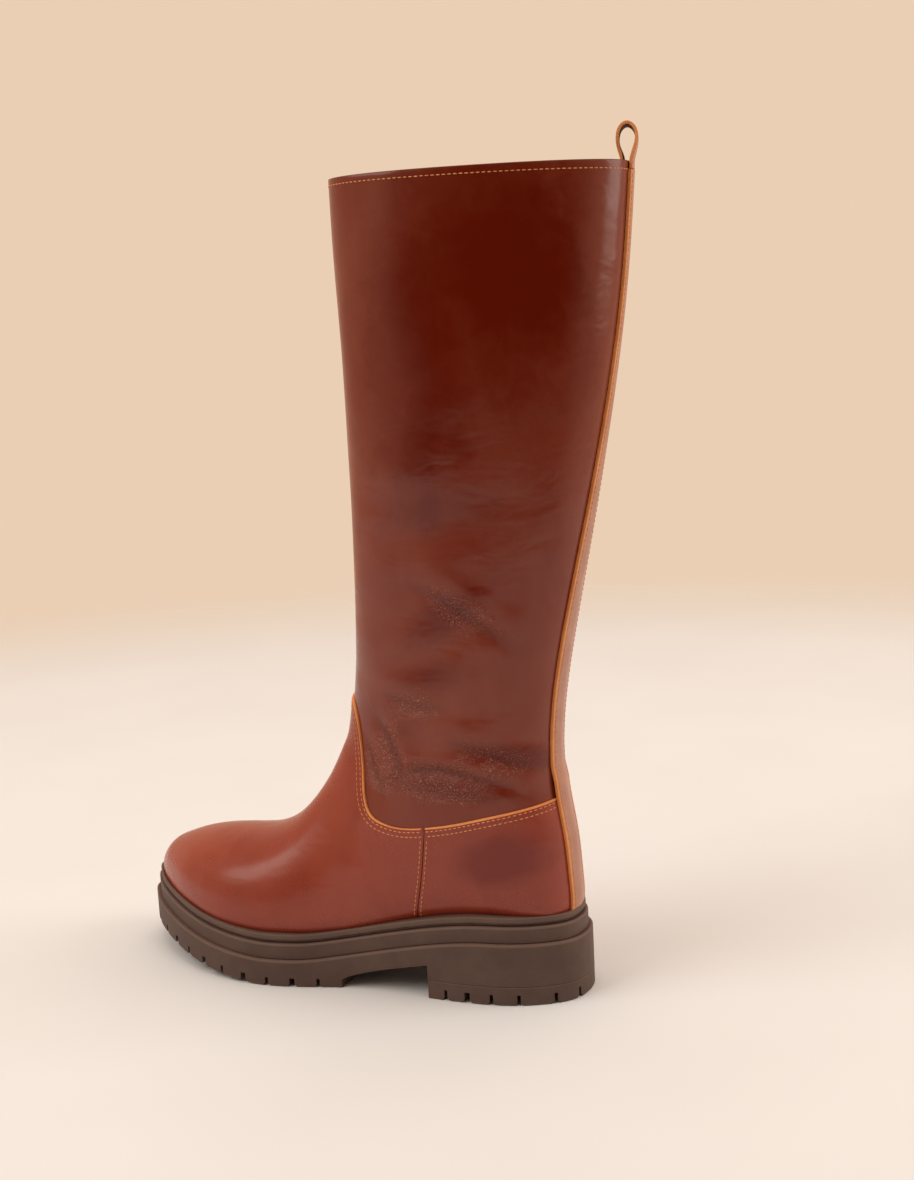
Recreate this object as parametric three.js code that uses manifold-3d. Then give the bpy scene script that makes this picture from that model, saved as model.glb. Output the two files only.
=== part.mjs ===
// Left knee-high leather boot on a lugged rubber sole, in millimetres.
// +X points to the toe, +Y to the outer (lateral) side of the foot, +Z up. The floor is at z = 0.
// Pieces are shaped about the sole's middle, and moved together at the end.
import * as THREE from "three";
import { mergeVertices } from "three/addons/utils/BufferGeometryUtils.js";
import Module from "manifold-3d";

const wasm = await Module();
wasm.setup();

// Driving sizes of the last and the shaft
const soleLength = 292; // outsole, heel to toe
const ballWidth = 104; // outsole across the ball of the foot
const platformHeight = 30; // floor to the top of the welt at the ball
const heelHeight = 49.5; // floor to the top of the welt at the heel
const toeSpring = 16; // lift of the toe tip off the floor
const throatHeight = 116; // ball's welt to the bend at the front of the ankle
const collarHeight = 450; // floor to the top line at the back
const shaftDepth = 160; // collar, front to back
const shaftWidth = 82; // widest part of the shaft, side to side
const shaftTwist = 17; // degrees that the collar turns over the sole
const leather = 2.1; // wall of the upper
const panelStep = 1.3; // foot panels stand this proud of the shaft they overlap
const clearance = 0.3; // gap between pieces that touch

// Sole unit
const weltHeight = 5.2;
const midsoleHeight = 9.3;
const midsoleInset = 2.4; // step from the outsole's side to the midsole's
const weltInset = 3.6; // step from the outsole's side to the welt's bead
const grooveDepth = 1.2; // groove between midsole and bead
const grooveHeight = 0.8;
const beadRound = 0.9; // rounding of the bead's upper edge
const edgeBreak = 0.9; // rounding of the rubber's edges
const lugDepth = 5.2; // slots and grooves of the forefoot tread
const heelLugDepth = 6.2; // and of the heel's
const heelTreadHeight = 11;
const heelLength = 83; // heel's back to its breast
const archLength = 54; // breast to the forefoot tread
const archRise = 19.5; // underside of the waist at the breast
const lugPitch = 15.7;
const slotWidths = [1.9, 3.2]; // narrow and wide slots take turns along the edge
const slotReach = 17; // how far a slot runs in from the edge
const slotFlare = 1.7; // widening of a slot at the ground
const channelWidth = 3; // groove that rings the middle lugs
const barWidth = 3.4; // groove between middle lugs
const barTilt = -12; // degrees from straight across
const barPlaces = [0.12, 0.25, 0.37]; // of the forefoot's, shares of soleLength from the sole's middle
const treadMargin = 13.5; // end of the forefoot tread to its first slot and to the ring groove

// Strip, loop, slit and sock
const stripWidth = 18;
const stripThickness = 1.8;
const loopThickness = 1.7;
const loopTail = 26; // length of the loop's leg inside the collar
const slitHeight = 77;
const slitTop = 2.4; // width at the collar
const slitFoot = 0.9; // width at the lower end
const slitAround = 38; // slit to the middle of the back strip, round the shaft
const gussetWidth = 15;
const gussetThickness = 1.2;
const sockThickness = 3;

const heelX = -soleLength / 2;
const toeX = soleLength / 2;
const breastX = heelX + heelLength;
const treadX = breastX + archLength;
const springX = 0.123 * soleLength; // where the toe starts to lift
const riseX = 0.075 * soleLength; // where the bed starts to climb to the heel
const levelX = -0.342 * soleLength; // where it is level again
const throatZ = platformHeight + throatHeight;

const clamp = (v) => Math.min(1, Math.max(0, v));
const smooth = (v) => clamp(v) ** 2 * (3 - 2 * clamp(v));

// Heights along the foot
const springCurve = 1.4; // powers of the toe's and the waist's curves
const waistCurve = 0.8;
const floorAt = (x) => toeSpring * clamp((x - springX) / (toeX - springX)) ** springCurve;
const bedAt = (x) =>
  platformHeight + (heelHeight - platformHeight) * smooth((riseX - x) / (riseX - levelX)) + floorAt(x);
const midsoleTopAt = (x) => bedAt(x) - weltHeight;
const outsoleTopAt = (x) => midsoleTopAt(x) - midsoleHeight;
const waistAt = (x) => lugDepth + (archRise - lugDepth) * clamp((treadX - x) / archLength) ** waistCurve;

// Catmull-Rom blend of table rows, column by column
function spline(rows, steps) {
  const made = [];
  for (let i = 0; i < rows.length - 1; i++) {
    const before = rows[Math.max(0, i - 1)];
    const [a, b] = [rows[i], rows[i + 1]];
    const after = rows[Math.min(rows.length - 1, i + 2)];
    for (let k = 0; k < steps; k++) {
      const t = k / steps;
      const [square, cube] = [t ** 2, t ** 3];
      const rise = 3 * square - 2 * cube;
      const weights = [1 - rise, cube - 2 * square + t, rise, cube - square];
      made.push(
        a.map((_, n) => {
          const values = [a[n], (b[n] - before[n]) / 2, b[n], (after[n] - a[n]) / 2];
          return values.reduce((sum, value, w) => sum + weights[w] * value, 0);
        }),
      );
    }
  }
  made.push(rows[rows.length - 1]);
  return made;
}

// Sections of the last. Each lies in a plane from its top line, along the front of the foot,
// to its low line, along the sole and up the heel.
// topX, lowX: shares of soleLength from the sole's middle. topZ: share of throatHeight over the ball's welt.
// lowZ: share of throatHeight over the bed. outer, inner: half widths, as shares of ballWidth.
// swing: sideways shift, as a share of ballWidth. belly: where along the section it is widest.
// crown, base: fullness of the curve above and below the belly.
const footColumns = ["topX", "topZ", "lowX", "lowZ", "outer", "inner", "swing", "belly", "crown", "base"];
const footSections = [
  [0.47, 0.177, 0.47, 0.009, 0.038, 0.038, -0.102, 0.5, 2, 2],
  [0.467, 0.2, 0.468, -0.017, 0.077, 0.077, -0.106, 0.6, 2, 2.3],
  [0.46, 0.231, 0.462, -0.052, 0.113, 0.113, -0.107, 0.64, 2, 2.7],
  [0.446, 0.262, 0.449, -0.069, 0.156, 0.156, -0.104, 0.66, 2.05, 3],
  [0.418, 0.298, 0.421, -0.078, 0.217, 0.217, -0.092, 0.67, 2.05, 3.3],
  [0.377, 0.336, 0.382, -0.078, 0.285, 0.285, -0.073, 0.68, 2.1, 3.5],
  [0.322, 0.37, 0.329, -0.078, 0.349, 0.352, -0.046, 0.68, 2.1, 3.5],
  [0.25, 0.396, 0.257, -0.078, 0.403, 0.401, -0.012, 0.68, 2.1, 3.5],
  [0.176, 0.428, 0.166, -0.078, 0.431, 0.392, 0, 0.68, 2.1, 3.5],
  [0.112, 0.505, 0.075, -0.078, 0.41, 0.35, 0, 0.68, 2.1, 3.5],
  [0.058, 0.634, -0.029, -0.078, 0.354, 0.317, 0, 0.67, 2.15, 3.5],
  [0.02, 0.776, -0.144, -0.078, 0.32, 0.304, 0, 0.65, 2.15, 3.5],
  [-0.009, 0.914, -0.274, -0.078, 0.313, 0.304, 0, 0.63, 2.2, 3.5],
  [-0.024, 1.026, -0.411, -0.078, 0.312, 0.306, 0, 0.58, 2.2, 3.1],
  [-0.031, 1.138, -0.466, -0.043, 0.312, 0.308, 0, 0.55, 2.2, 2.65],
  [-0.037, 1.246, -0.473, 0.147, 0.315, 0.312, 0, 0.54, 2.2, 2.5],
  [-0.042, 1.349, -0.467, 0.328, 0.319, 0.317, 0, 0.53, 2.2, 2.4],
];
// Sections of the shaft. frontX: share of soleLength. frontZ: share of the way from the throat to the collar.
// depth: share of shaftDepth. backZ: share of the way from the heel's bed to the collar.
// outer, inner: half widths, as shares of shaftWidth.
const shaftColumns = ["frontX", "frontZ", "depth", "backZ", "outer", "inner", "belly", "crown", "base"];
const shaftSections = [
  [-0.046, 0.171, 0.746, 0.156, 0.415, 0.415, 0.52, 2.2, 2.3],
  [-0.053, 0.247, 0.728, 0.251, 0.422, 0.422, 0.51, 2.2, 2.3],
  [-0.06, 0.336, 0.752, 0.351, 0.434, 0.434, 0.5, 2.2, 2.3],
  [-0.067, 0.444, 0.795, 0.458, 0.451, 0.451, 0.5, 2.2, 2.3],
  [-0.071, 0.569, 0.853, 0.588, 0.476, 0.476, 0.5, 2.2, 2.3],
  [-0.073, 0.717, 0.912, 0.73, 0.495, 0.495, 0.5, 2.2, 2.3],
  [-0.07, 0.862, 0.967, 0.868, 0.5, 0.5, 0.5, 2.2, 2.3],
  [-0.069, 1.002, 1, 1.001, 0.5, 0.5, 0.5, 2.2, 2.3],
];
const named = (columns, row) => Object.fromEntries(columns.map((name, n) => [name, row[n]]));

const sections = [
  ...footSections.map((row) => {
    const s = named(footColumns, row);
    const lowX = s.lowX * soleLength;
    return [
      s.topX * soleLength,
      platformHeight + s.topZ * throatHeight,
      lowX,
      bedAt(lowX) + s.lowZ * throatHeight,
      s.outer * ballWidth,
      s.inner * ballWidth,
      s.swing * ballWidth,
      s.belly,
      s.crown,
      s.base,
    ];
  }),
  ...shaftSections.map((row) => {
    const s = named(shaftColumns, row);
    const frontX = s.frontX * soleLength;
    return [
      frontX,
      throatZ + s.frontZ * (collarHeight - throatZ),
      frontX - s.depth * shaftDepth,
      heelHeight + s.backZ * (collarHeight - heelHeight),
      s.outer * shaftWidth,
      s.inner * shaftWidth,
      0,
      s.belly,
      s.crown,
      s.base,
    ];
  }),
];

// A quarter of a section as [place, width] points at even distances, from the line at its end to its belly
function quarter(half, power, reach, start, span, count) {
  const fineSteps = 48;
  const fine = Array.from({ length: fineSteps + 1 }, (_, k) => {
    const angle = (k / fineSteps) * (Math.PI / 2);
    return [start + reach * Math.cos(angle) ** (2 / power), half * Math.sin(angle) ** (2 / power)];
  });
  const lengths = [0];
  for (let k = 1; k <= fineSteps; k++) {
    const [along, across] = [0, 1].map((c) => fine[k][c] - fine[k - 1][c]);
    lengths.push(lengths[k - 1] + Math.hypot(along * span, across));
  }
  return Array.from({ length: count + 1 }, (_, n) => {
    const want = (lengths[fineSteps] * n) / count;
    let k = 1;
    while (k < fineSteps && lengths[k] < want) k++;
    const t = (want - lengths[k - 1]) / (lengths[k] - lengths[k - 1]);
    return [0, 1].map((c) => fine[k - 1][c] + t * (fine[k][c] - fine[k - 1][c]));
  });
}

// One section as a closed ring of points: down the outer side from the top line, then back up the inner side
function ring([topX, topZ, lowX, lowZ, outer, inner, swing, belly, crown, base], count) {
  const span = Math.hypot(lowX - topX, lowZ - topZ);
  const side = (half) => [
    ...quarter(half, crown, -belly, belly, span, count / 4),
    ...quarter(half, base, 1 - belly, belly, span, count / 4).reverse().slice(1),
  ];
  const outerSide = side(outer).slice(0, -1);
  const innerSide = side(inner).map(([place, width]) => [place, -width]).reverse().slice(0, -1);
  return [...outerSide, ...innerSide].map(([place, width]) => {
    const x = topX + place * (lowX - topX);
    const z = topZ + place * (lowZ - topZ);
    return new THREE.Vector3(x, swing + width, z);
  });
}

// The shaft turns a little over the foot, about its own middle
const shaftMiddleX = shaftSections[shaftSections.length - 1][0] * soleLength - shaftDepth / 2;
const twistStart = 0.1; // shares of the way from the throat to the collar
const twistEnd = 0.85;
function twistAt(z) {
  const share = (z - throatZ) / (collarHeight - throatZ);
  return THREE.MathUtils.degToRad(shaftTwist) * smooth((share - twistStart) / (twistEnd - twistStart));
}
function twisted(p) {
  const turn = twistAt(p.z);
  const x = p.x - shaftMiddleX;
  return new THREE.Vector3(
    shaftMiddleX + x * Math.cos(turn) - p.y * Math.sin(turn),
    x * Math.sin(turn) + p.y * Math.cos(turn),
    p.z,
  );
}

// The last as a grid of rings, toe to collar
function lastGrid(steps, count) {
  return spline(sections, steps).map((row) => ring(row, count).map(twisted));
}
const outerSteps = 2;
const outerPoints = 36;
const innerSteps = 1;
const innerPoints = 28;
const outerGrid = lastGrid(outerSteps, outerPoints);
const innerGrid = lastGrid(innerSteps, innerPoints);

function normalAt(grid, i, j) {
  const count = grid[0].length;
  const along = grid[Math.min(grid.length - 1, i + 1)][j].clone().sub(grid[Math.max(0, i - 1)][j]);
  const around = grid[i][(j + 1) % count].clone().sub(grid[i][(j + count - 1) % count]);
  return around.cross(along).normalize();
}

// A closed solid of the last, grown outwards by a distance. extend lifts its collar end by that much.
function lastSolid(grid, distance, extend) {
  const count = grid[0].length;
  const grown = (p, i, j) => p.clone().addScaledVector(normalAt(grid, i, j), distance);
  const rings = grid.map((points, i) => points.map((p, j) => grown(p, i, j)));
  const lift = new THREE.Vector3(0, 0, extend);
  if (extend) rings.push(rings[rings.length - 1].map((p) => p.clone().add(lift)));
  const sumOf = (points) => points.reduce((sum, p) => sum.add(p), new THREE.Vector3());
  const middle = (points) => sumOf(points).divideScalar(points.length);
  const tip = middle(rings[0]);
  tip.x += distance;
  const vertices = [...rings.flat(), tip, middle(rings[rings.length - 1])];
  const faces = [];
  for (let i = 0; i < rings.length - 1; i++)
    for (let j = 0; j < count; j++) {
      const [a, b] = [i * count + j, i * count + ((j + 1) % count)];
      faces.push([a, b, a + count], [b, b + count, a + count]);
    }
  const end = (rings.length - 1) * count;
  for (let j = 0; j < count; j++) {
    const k = (j + 1) % count;
    faces.push([vertices.length - 2, k, j], [vertices.length - 1, end + j, end + k]);
  }
  return solid(vertices, faces);
}

function solid(vertices, faces) {
  return new wasm.Manifold(
    new wasm.Mesh({
      numProp: 3,
      vertProperties: new Float32Array(vertices.flatMap((p) => [p.x, p.y, p.z])),
      triVerts: new Uint32Array(faces.flat()),
    }),
  );
}

const mergeDistance = 1e-4;

// A closed geometry as a solid
function solidOf(geometry) {
  const bare = geometry.clone();
  bare.deleteAttribute("normal");
  bare.deleteAttribute("uv");
  const merged = mergeVertices(bare, mergeDistance);
  return new wasm.Manifold(
    new wasm.Mesh({
      numProp: 3,
      vertProperties: new Float32Array(merged.getAttribute("position").array),
      triVerts: new Uint32Array(merged.index.array),
    }),
  );
}

// A prism on an outline of [x, z] points in the side view, from y = low to y = high
function sidePrism(points, low, high) {
  const shape = new THREE.Shape(points.map(([x, z]) => new THREE.Vector2(x, z)));
  const geometry = new THREE.ExtrudeGeometry(shape, { depth: high - low, bevelEnabled: false });
  geometry.rotateX(Math.PI / 2);
  geometry.translate(0, high, 0);
  return solidOf(geometry);
}

// A prism on an outline of Vector2 points in the top view
function topPrism(points, low, high) {
  const shape = new THREE.Shape(points);
  const geometry = new THREE.ExtrudeGeometry(shape, { depth: high - low, bevelEnabled: false });
  geometry.translate(0, 0, low);
  return solidOf(geometry);
}

function box(lowX, highX, lowY, highY, lowZ, highZ) {
  const geometry = new THREE.BoxGeometry(highX - lowX, highY - lowY, highZ - lowZ);
  geometry.translate((lowX + highX) / 2, (lowY + highY) / 2, (lowZ + highZ) / 2);
  return solidOf(geometry);
}

// Outline of the outsole, seen from above. along: share of soleLength from the heel.
// outer, inner: distance of each edge from the middle line, as shares of ballWidth.
const outlineTable = [
  [0.0, 0.0, 0.0],
  [0.005, 0.095, 0.095],
  [0.018, 0.17, 0.17],
  [0.045, 0.24, 0.24],
  [0.09, 0.31, 0.307],
  [0.15, 0.358, 0.352],
  [0.21, 0.375, 0.364],
  [0.3, 0.378, 0.355],
  [0.4, 0.375, 0.34],
  [0.47, 0.398, 0.35],
  [0.53, 0.445, 0.375],
  [0.6, 0.49, 0.42],
  [0.67, 0.5, 0.457],
  [0.74, 0.472, 0.475],
  [0.81, 0.402, 0.47],
  [0.87, 0.31, 0.437],
  [0.92, 0.212, 0.385],
  [0.96, 0.11, 0.315],
  [0.985, 0.02, 0.238],
  [0.997, -0.04, 0.155],
  [1.0, -0.093, 0.093],
];
const outlineSteps = 2;
const outlineRows = spline(outlineTable, outlineSteps);
const outline = [
  ...outlineRows.map(([along, outer]) => new THREE.Vector2(heelX + along * soleLength, outer * ballWidth)),
  ...outlineRows
    .slice(1, -1)
    .reverse()
    .map(([along, , inner]) => new THREE.Vector2(heelX + along * soleLength, -inner * ballWidth)),
];

// The outline moved inwards by a distance
function insetOutline(distance) {
  const count = outline.length;
  return outline.map((p, n) => {
    const along = outline[(n + 1) % count].clone().sub(outline[(n + count - 1) % count]).normalize();
    return new THREE.Vector2(p.x + along.y * distance, p.y - along.x * distance);
  });
}

// A slab whose side steps through rings of [inset, height(x)], from the lowest to the highest
function slab(rings) {
  const count = outline.length;
  const vertices = rings.flatMap(([inset, height]) =>
    insetOutline(inset).map((p) => new THREE.Vector3(p.x, p.y, height(p.x))),
  );
  const faces = [];
  for (let i = 0; i < rings.length - 1; i++)
    for (let j = 0; j < count; j++) {
      const [a, b] = [i * count + j, i * count + ((j + 1) % count)];
      faces.push([a, a + count, b], [b, a + count, b + count]);
    }
  const top = (rings.length - 1) * count;
  for (let j = 0; j < count / 2; j++) {
    const [a, b] = [j, j + 1];
    const [c, d] = [(count - j) % count, count - j - 1];
    if (b !== d) faces.push([a, b, d], [top + a, top + d, top + b]);
    if (a !== c) faces.push([a, d, c], [top + a, top + c, top + d]);
  }
  return solid(vertices, faces);
}

const reach = 2 * soleLength; // longer than any piece, for cutting tools
const beyond = 60; // how far a cutting tool passes the sole's ends

// Everything under height(x), as a cutting tool
function under(height) {
  const steps = 32;
  const points = [];
  for (let k = 0; k <= steps; k++) {
    const x = heelX - beyond + (k / steps) * (soleLength + 2 * beyond);
    points.push([x, height(x)]);
  }
  return sidePrism([...points, [toeX + beyond, -beyond], [heelX - beyond, -beyond]], -reach, reach);
}

// Distance along the outline from its heel end, outer side first
const edgeLengths = outline.reduce(
  (lengths, p, n) => [...lengths, lengths[n] + p.distanceTo(outline[(n + 1) % outline.length])],
  [0],
);
function edgeAt(length) {
  let n = 0;
  while (n < outline.length - 1 && edgeLengths[n + 1] < length) n++;
  const share = (length - edgeLengths[n]) / (edgeLengths[n + 1] - edgeLengths[n]);
  const [a, b] = [outline[n], outline[(n + 1) % outline.length]];
  return { point: a.clone().lerp(b, share), along: b.clone().sub(a).normalize() };
}

// A slot cut into the sole's edge at a place on the outline, flared at the ground
function slotAt(length, width, depth) {
  const { point, along } = edgeAt(length);
  const rise = floorAt(point.x);
  const half = width / 2;
  const shape = new THREE.Shape([
    new THREE.Vector2(-half - slotFlare, -depth),
    new THREE.Vector2(half + slotFlare, -depth),
    new THREE.Vector2(half + slotFlare, rise),
    new THREE.Vector2(half, rise + slotFlare),
    new THREE.Vector2(half, rise + depth),
    new THREE.Vector2(-half, rise + depth),
    new THREE.Vector2(-half, rise + slotFlare),
    new THREE.Vector2(-half - slotFlare, rise),
  ]);
  const geometry = new THREE.ExtrudeGeometry(shape, { depth: slotReach + depth, bevelEnabled: false });
  const across = new THREE.Vector3(along.x, along.y, 0);
  const inward = new THREE.Vector3(along.y, -along.x, 0);
  const up = new THREE.Vector3(0, 0, 1);
  geometry.translate(0, 0, -depth);
  geometry.applyMatrix4(new THREE.Matrix4().makeBasis(across, up, inward));
  geometry.translate(point.x, point.y, 0);
  return solidOf(geometry);
}

// Slots at even distances between two places on the outline
function slots(from, to) {
  const count = Math.round((to - from) / lugPitch);
  return Array.from({ length: count + 1 }, (_, n) =>
    slotAt(from + ((to - from) * n) / count, slotWidths[n % slotWidths.length], lugDepth),
  );
}

// Slots of the heel on both sides. place: share of heelLength from its breast. width: which of slotWidths.
const heelSlots = [
  { place: 0.129, width: 0 },
  { place: 0.283, width: 1 },
  { place: 0.452, width: 0 },
  { place: 0.633, width: 0 },
  { place: 0.855, width: 0 },
  { place: 0.972, width: 0 },
];

// Length along the outline where an edge passes x
function edgeLengthAt(x, outerEdge) {
  const half = outline.length / 2;
  const [start, end] = outerEdge ? [0, half] : [half, outline.length];
  for (let n = start; n < end; n++) {
    const [a, b] = [outline[n].x, outline[(n + 1) % outline.length].x];
    const share = (x - a) / (b - a);
    if ((a - x) * (b - x) <= 0) return edgeLengths[n] + share * (edgeLengths[n + 1] - edgeLengths[n]);
  }
  return edgeLengths[start];
}

// Outline of the sole's middle, a distance in from its edges
function middleOutline(distance) {
  const rows = outlineRows
    .map(([along, outer, inner]) => ({
      x: heelX + along * soleLength,
      outerY: outer * ballWidth - distance,
      innerY: distance - inner * ballWidth,
    }))
    .filter(({ x }) => x > heelX + distance && x < toeX - distance)
    .filter(({ outerY, innerY }) => outerY - innerY > distance / 3);
  return [
    ...rows.map(({ x, outerY }) => new THREE.Vector2(x, outerY)),
    ...rows.reverse().map(({ x, innerY }) => new THREE.Vector2(x, innerY)),
  ];
}

// Groove that rings the middle lugs, and bars across them, below top and between two places along the sole
function middleGrooves(fromX, toX, bars, top) {
  const outside = topPrism(middleOutline(slotReach), -lugDepth, top);
  const inside = topPrism(middleOutline(slotReach + channelWidth), -2 * lugDepth, 2 * top);
  const region = box(fromX, toX, -reach, reach, -lugDepth, top);
  const cuts = bars.map((x) => {
    const bar = new THREE.BoxGeometry(barWidth, reach, top + lugDepth);
    bar.translate(0, 0, (top - lugDepth) / 2);
    bar.rotateZ(THREE.MathUtils.degToRad(barTilt));
    bar.translate(x, 0, 0);
    return solidOf(bar).intersect(outside);
  });
  return wasm.Manifold.union([outside.subtract(inside), ...cuts]).intersect(region);
}

function makeOutsole() {
  const body = slab([
    [edgeBreak, floorAt],
    [0, (x) => floorAt(x) + edgeBreak],
    [0, (x) => outsoleTopAt(x) - edgeBreak],
    [edgeBreak, outsoleTopAt],
  ]);
  const archSteps = 10;
  const arch = Array.from({ length: archSteps + 1 }, (_, k) => {
    const x = breastX + (k / archSteps) * archLength;
    return [x, waistAt(x)];
  });
  const gapOutline = [
    [heelX - beyond, -beyond],
    [treadX, -beyond],
    ...arch.reverse(),
    [breastX, heelTreadHeight],
    [heelX - beyond, heelTreadHeight],
  ];
  const gap = sidePrism(gapOutline, -reach, reach);
  const firstX = treadX + treadMargin;
  const edgeSlots = slots(edgeLengthAt(firstX, true), edgeLengthAt(firstX, false));
  const lift = under((x) => floorAt(x) + lugDepth);
  const bars = barPlaces.map((share) => share * soleLength);
  const middle = middleGrooves(firstX, toeX, bars, reach).intersect(lift);
  return body.subtract(gap).subtract(wasm.Manifold.union(edgeSlots)).subtract(middle);
}

function makeHeelTread() {
  const top = heelTreadHeight - clearance;
  const body = slab([
    [edgeBreak, () => 0],
    [0, () => edgeBreak],
    [0, () => top],
  ]).intersect(box(heelX - beyond, breastX, -reach, reach, -1, top + 1));
  const edgeSlots = [true, false].flatMap((outerEdge) =>
    heelSlots.map(({ place, width }) =>
      slotAt(edgeLengthAt(breastX - place * heelLength, outerEdge), slotWidths[width], heelLugDepth),
    ),
  );
  const middle = middleGrooves(heelX, breastX - slotReach / 2, [heelX + heelLength / 2], heelLugDepth);
  return body.subtract(wasm.Manifold.union([...edgeSlots, middle]));
}

function makeMidsole() {
  const low = (x) => outsoleTopAt(x) + clearance;
  return slab([
    [midsoleInset, low],
    [midsoleInset, (x) => midsoleTopAt(x) - edgeBreak],
    [midsoleInset + edgeBreak, midsoleTopAt],
  ]);
}

function makeWelt(footOutside) {
  const low = (x) => midsoleTopAt(x) + clearance;
  const bead = slab([
    [weltInset + grooveDepth, low],
    [weltInset + grooveDepth, (x) => low(x) + grooveHeight],
    [weltInset, (x) => low(x) + grooveHeight + grooveDepth],
    [weltInset, (x) => bedAt(x) - beadRound],
    [weltInset + beadRound, bedAt],
  ]);
  return bead.subtract(footOutside);
}

// Upper edge of the foot panels in the side view, down the front of the ankle, round a corner and back to
// the heel. Shares of soleLength, and of throatHeight over the ball's welt.
const seamShape = [
  [0.06, 1.2],
  [0.02, 1.19],
  [-0.01, 1.175],
  [-0.033, 1.165],
  [-0.042, 1.15],
  [-0.054, 1.11],
  [-0.064, 1.05],
  [-0.071, 0.966],
  [-0.079, 0.825],
  [-0.086, 0.69],
  [-0.1, 0.616],
  [-0.13, 0.579],
  [-0.162, 0.568],
  [-0.216, 0.581],
  [-0.27, 0.609],
  [-0.332, 0.65],
  [-0.404, 0.692],
  [-0.46, 0.72],
  [-0.56, 0.768],
];
const seamPoints = 48;
const seamLine = new THREE.SplineCurve(
  seamShape.map(([x, z]) => new THREE.Vector2(x * soleLength, platformHeight + z * throatHeight)),
).getPoints(seamPoints);

function seamHeightAt(x) {
  const n = seamLine.findIndex((p) => p.x <= x);
  if (n < 1) return seamLine[0].y;
  const [a, b] = [seamLine[n - 1], seamLine[n]];
  return a.y + ((x - a.x) / (b.x - a.x)) * (b.y - a.y);
}

function makeUpper() {
  const shaft = lastSolid(outerGrid, 0, 0);
  const foot = lastSolid(outerGrid, panelStep, 0);
  const panelOutline = [
    ...seamLine.map((p) => [p.x, p.y]),
    [heelX - beyond, -beyond],
    [toeX + beyond, -beyond],
    [toeX + beyond, seamLine[0].y],
  ];
  const panels = sidePrism(panelOutline, -reach, reach);
  const inside = lastSolid(innerGrid, -leather, beyond);
  return shaft
    .add(foot.intersect(panels))
    .subtract(inside)
    .subtract(under((x) => midsoleTopAt(x) + clearance))
    .subtract(makeSlit());
}

// Point and outward normal on ring i, at a distance round it from the back line towards the inner side
function backPoint(grid, i, distance) {
  const count = grid[0].length;
  const step = distance < 0 ? -1 : 1;
  let j = count / 2;
  let left = Math.abs(distance);
  for (;;) {
    const next = (j + step + count) % count;
    const length = grid[i][j].distanceTo(grid[i][next]);
    if (left <= length) {
      const share = left / length;
      return {
        point: grid[i][j].clone().lerp(grid[i][next], share),
        normal: normalAt(grid, i, j).lerp(normalAt(grid, i, next), share).normalize(),
      };
    }
    left -= length;
    j = next;
  }
}

// A patch of leather that lies on the shaft between two distances round it, from one offset to another
function patch(grid, firstRow, from, to, columns, low, high) {
  const layers = [low, high].map((offset) =>
    grid.slice(firstRow).map((_, n) =>
      Array.from({ length: columns + 1 }, (__, k) => {
        const { point, normal } = backPoint(grid, firstRow + n, from + ((to - from) * k) / columns);
        return point.clone().addScaledVector(normal, offset(point));
      }),
    ),
  );
  const rows = layers[0].length;
  const width = columns + 1;
  const size = rows * width;
  const faces = [];
  const face = (a, b, c, d) => faces.push([a, b, c], [a, c, d]);
  for (let i = 0; i < rows - 1; i++)
    for (let k = 0; k < columns; k++) {
      const a = i * width + k;
      face(a, a + width, a + width + 1, a + 1);
      face(size + a, size + a + 1, size + a + width + 1, size + a + width);
    }
  for (let i = 0; i < rows - 1; i++) {
    const [a, b] = [i * width, i * width + columns];
    face(a, size + a, size + a + width, a + width);
    face(b, b + width, size + b + width, size + b);
  }
  const last = (rows - 1) * width;
  for (let k = 0; k < columns; k++) {
    face(k, k + 1, size + k + 1, size + k);
    face(last + k, size + last + k, size + last + k + 1, last + k + 1);
  }
  return solid(layers.flat(2), faces);
}

const stripFirstRow = 13 * outerSteps; // section at the heel's lower corner
const slitFirstRow = 20 * outerSteps; // section below the slit

// Slit in the inner side of the collar, narrowing downwards
function makeSlit() {
  const depth = 3 * leather;
  const bottomZ = collarHeight - slitHeight;
  const at = (i) => backPoint(outerGrid, i, slitAround);
  const rows = outerGrid.slice(slitFirstRow).map((_, n) => at(slitFirstRow + n));
  const share = (z) => clamp((z - bottomZ) / slitHeight);
  const top = rows[rows.length - 1];
  rows.push({ point: top.point.clone().setZ(collarHeight + depth), normal: top.normal });
  const vertices = rows.flatMap(({ point, normal }) => {
    const half = (slitFoot + (slitTop - slitFoot) * share(point.z)) / 2;
    const side = new THREE.Vector3(-normal.y, normal.x, 0).normalize();
    return [
      [-half, -depth],
      [half, -depth],
      [half, depth],
      [-half, depth],
    ].map(([s, d]) => point.clone().addScaledVector(side, s).addScaledVector(normal, d));
  });
  const faces = [];
  const corners = 4;
  for (let i = 0; i < rows.length - 1; i++)
    for (let k = 0; k < corners; k++) {
      const [a, b] = [i * corners + k, i * corners + ((k + 1) % corners)];
      faces.push([a, b, b + corners], [a, b + corners, a + corners]);
    }
  const end = (rows.length - 1) * corners;
  faces.push([0, 2, 1], [0, 3, 2], [end, end + 1, end + 2], [end, end + 2, end + 3]);
  const made = solid(vertices, faces);
  return made.intersect(box(-reach, reach, -reach, reach, bottomZ, collarHeight + depth));
}

const loopLow = 3; // the loop's outer leg starts this far under the collar
const stripTopZ = collarHeight - loopLow - clearance;
const stripColumns = 6; // faces across the strip
const stripRamp = 9; // height over which the strip climbs onto the panel's step

function makeBackStrip() {
  const base = (p) => clearance + panelStep * clamp((seamHeightAt(p.x) + 2 * stripRamp - p.z) / stripRamp);
  const face = (p) => base(p) + stripThickness;
  const half = stripWidth / 2;
  const strip = patch(outerGrid, stripFirstRow, -half, half, stripColumns, base, face);
  const keep = box(-reach, 0, -reach, reach, 0, stripTopZ);
  return strip.intersect(keep).subtract(under((x) => bedAt(x) + clearance));
}

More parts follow.
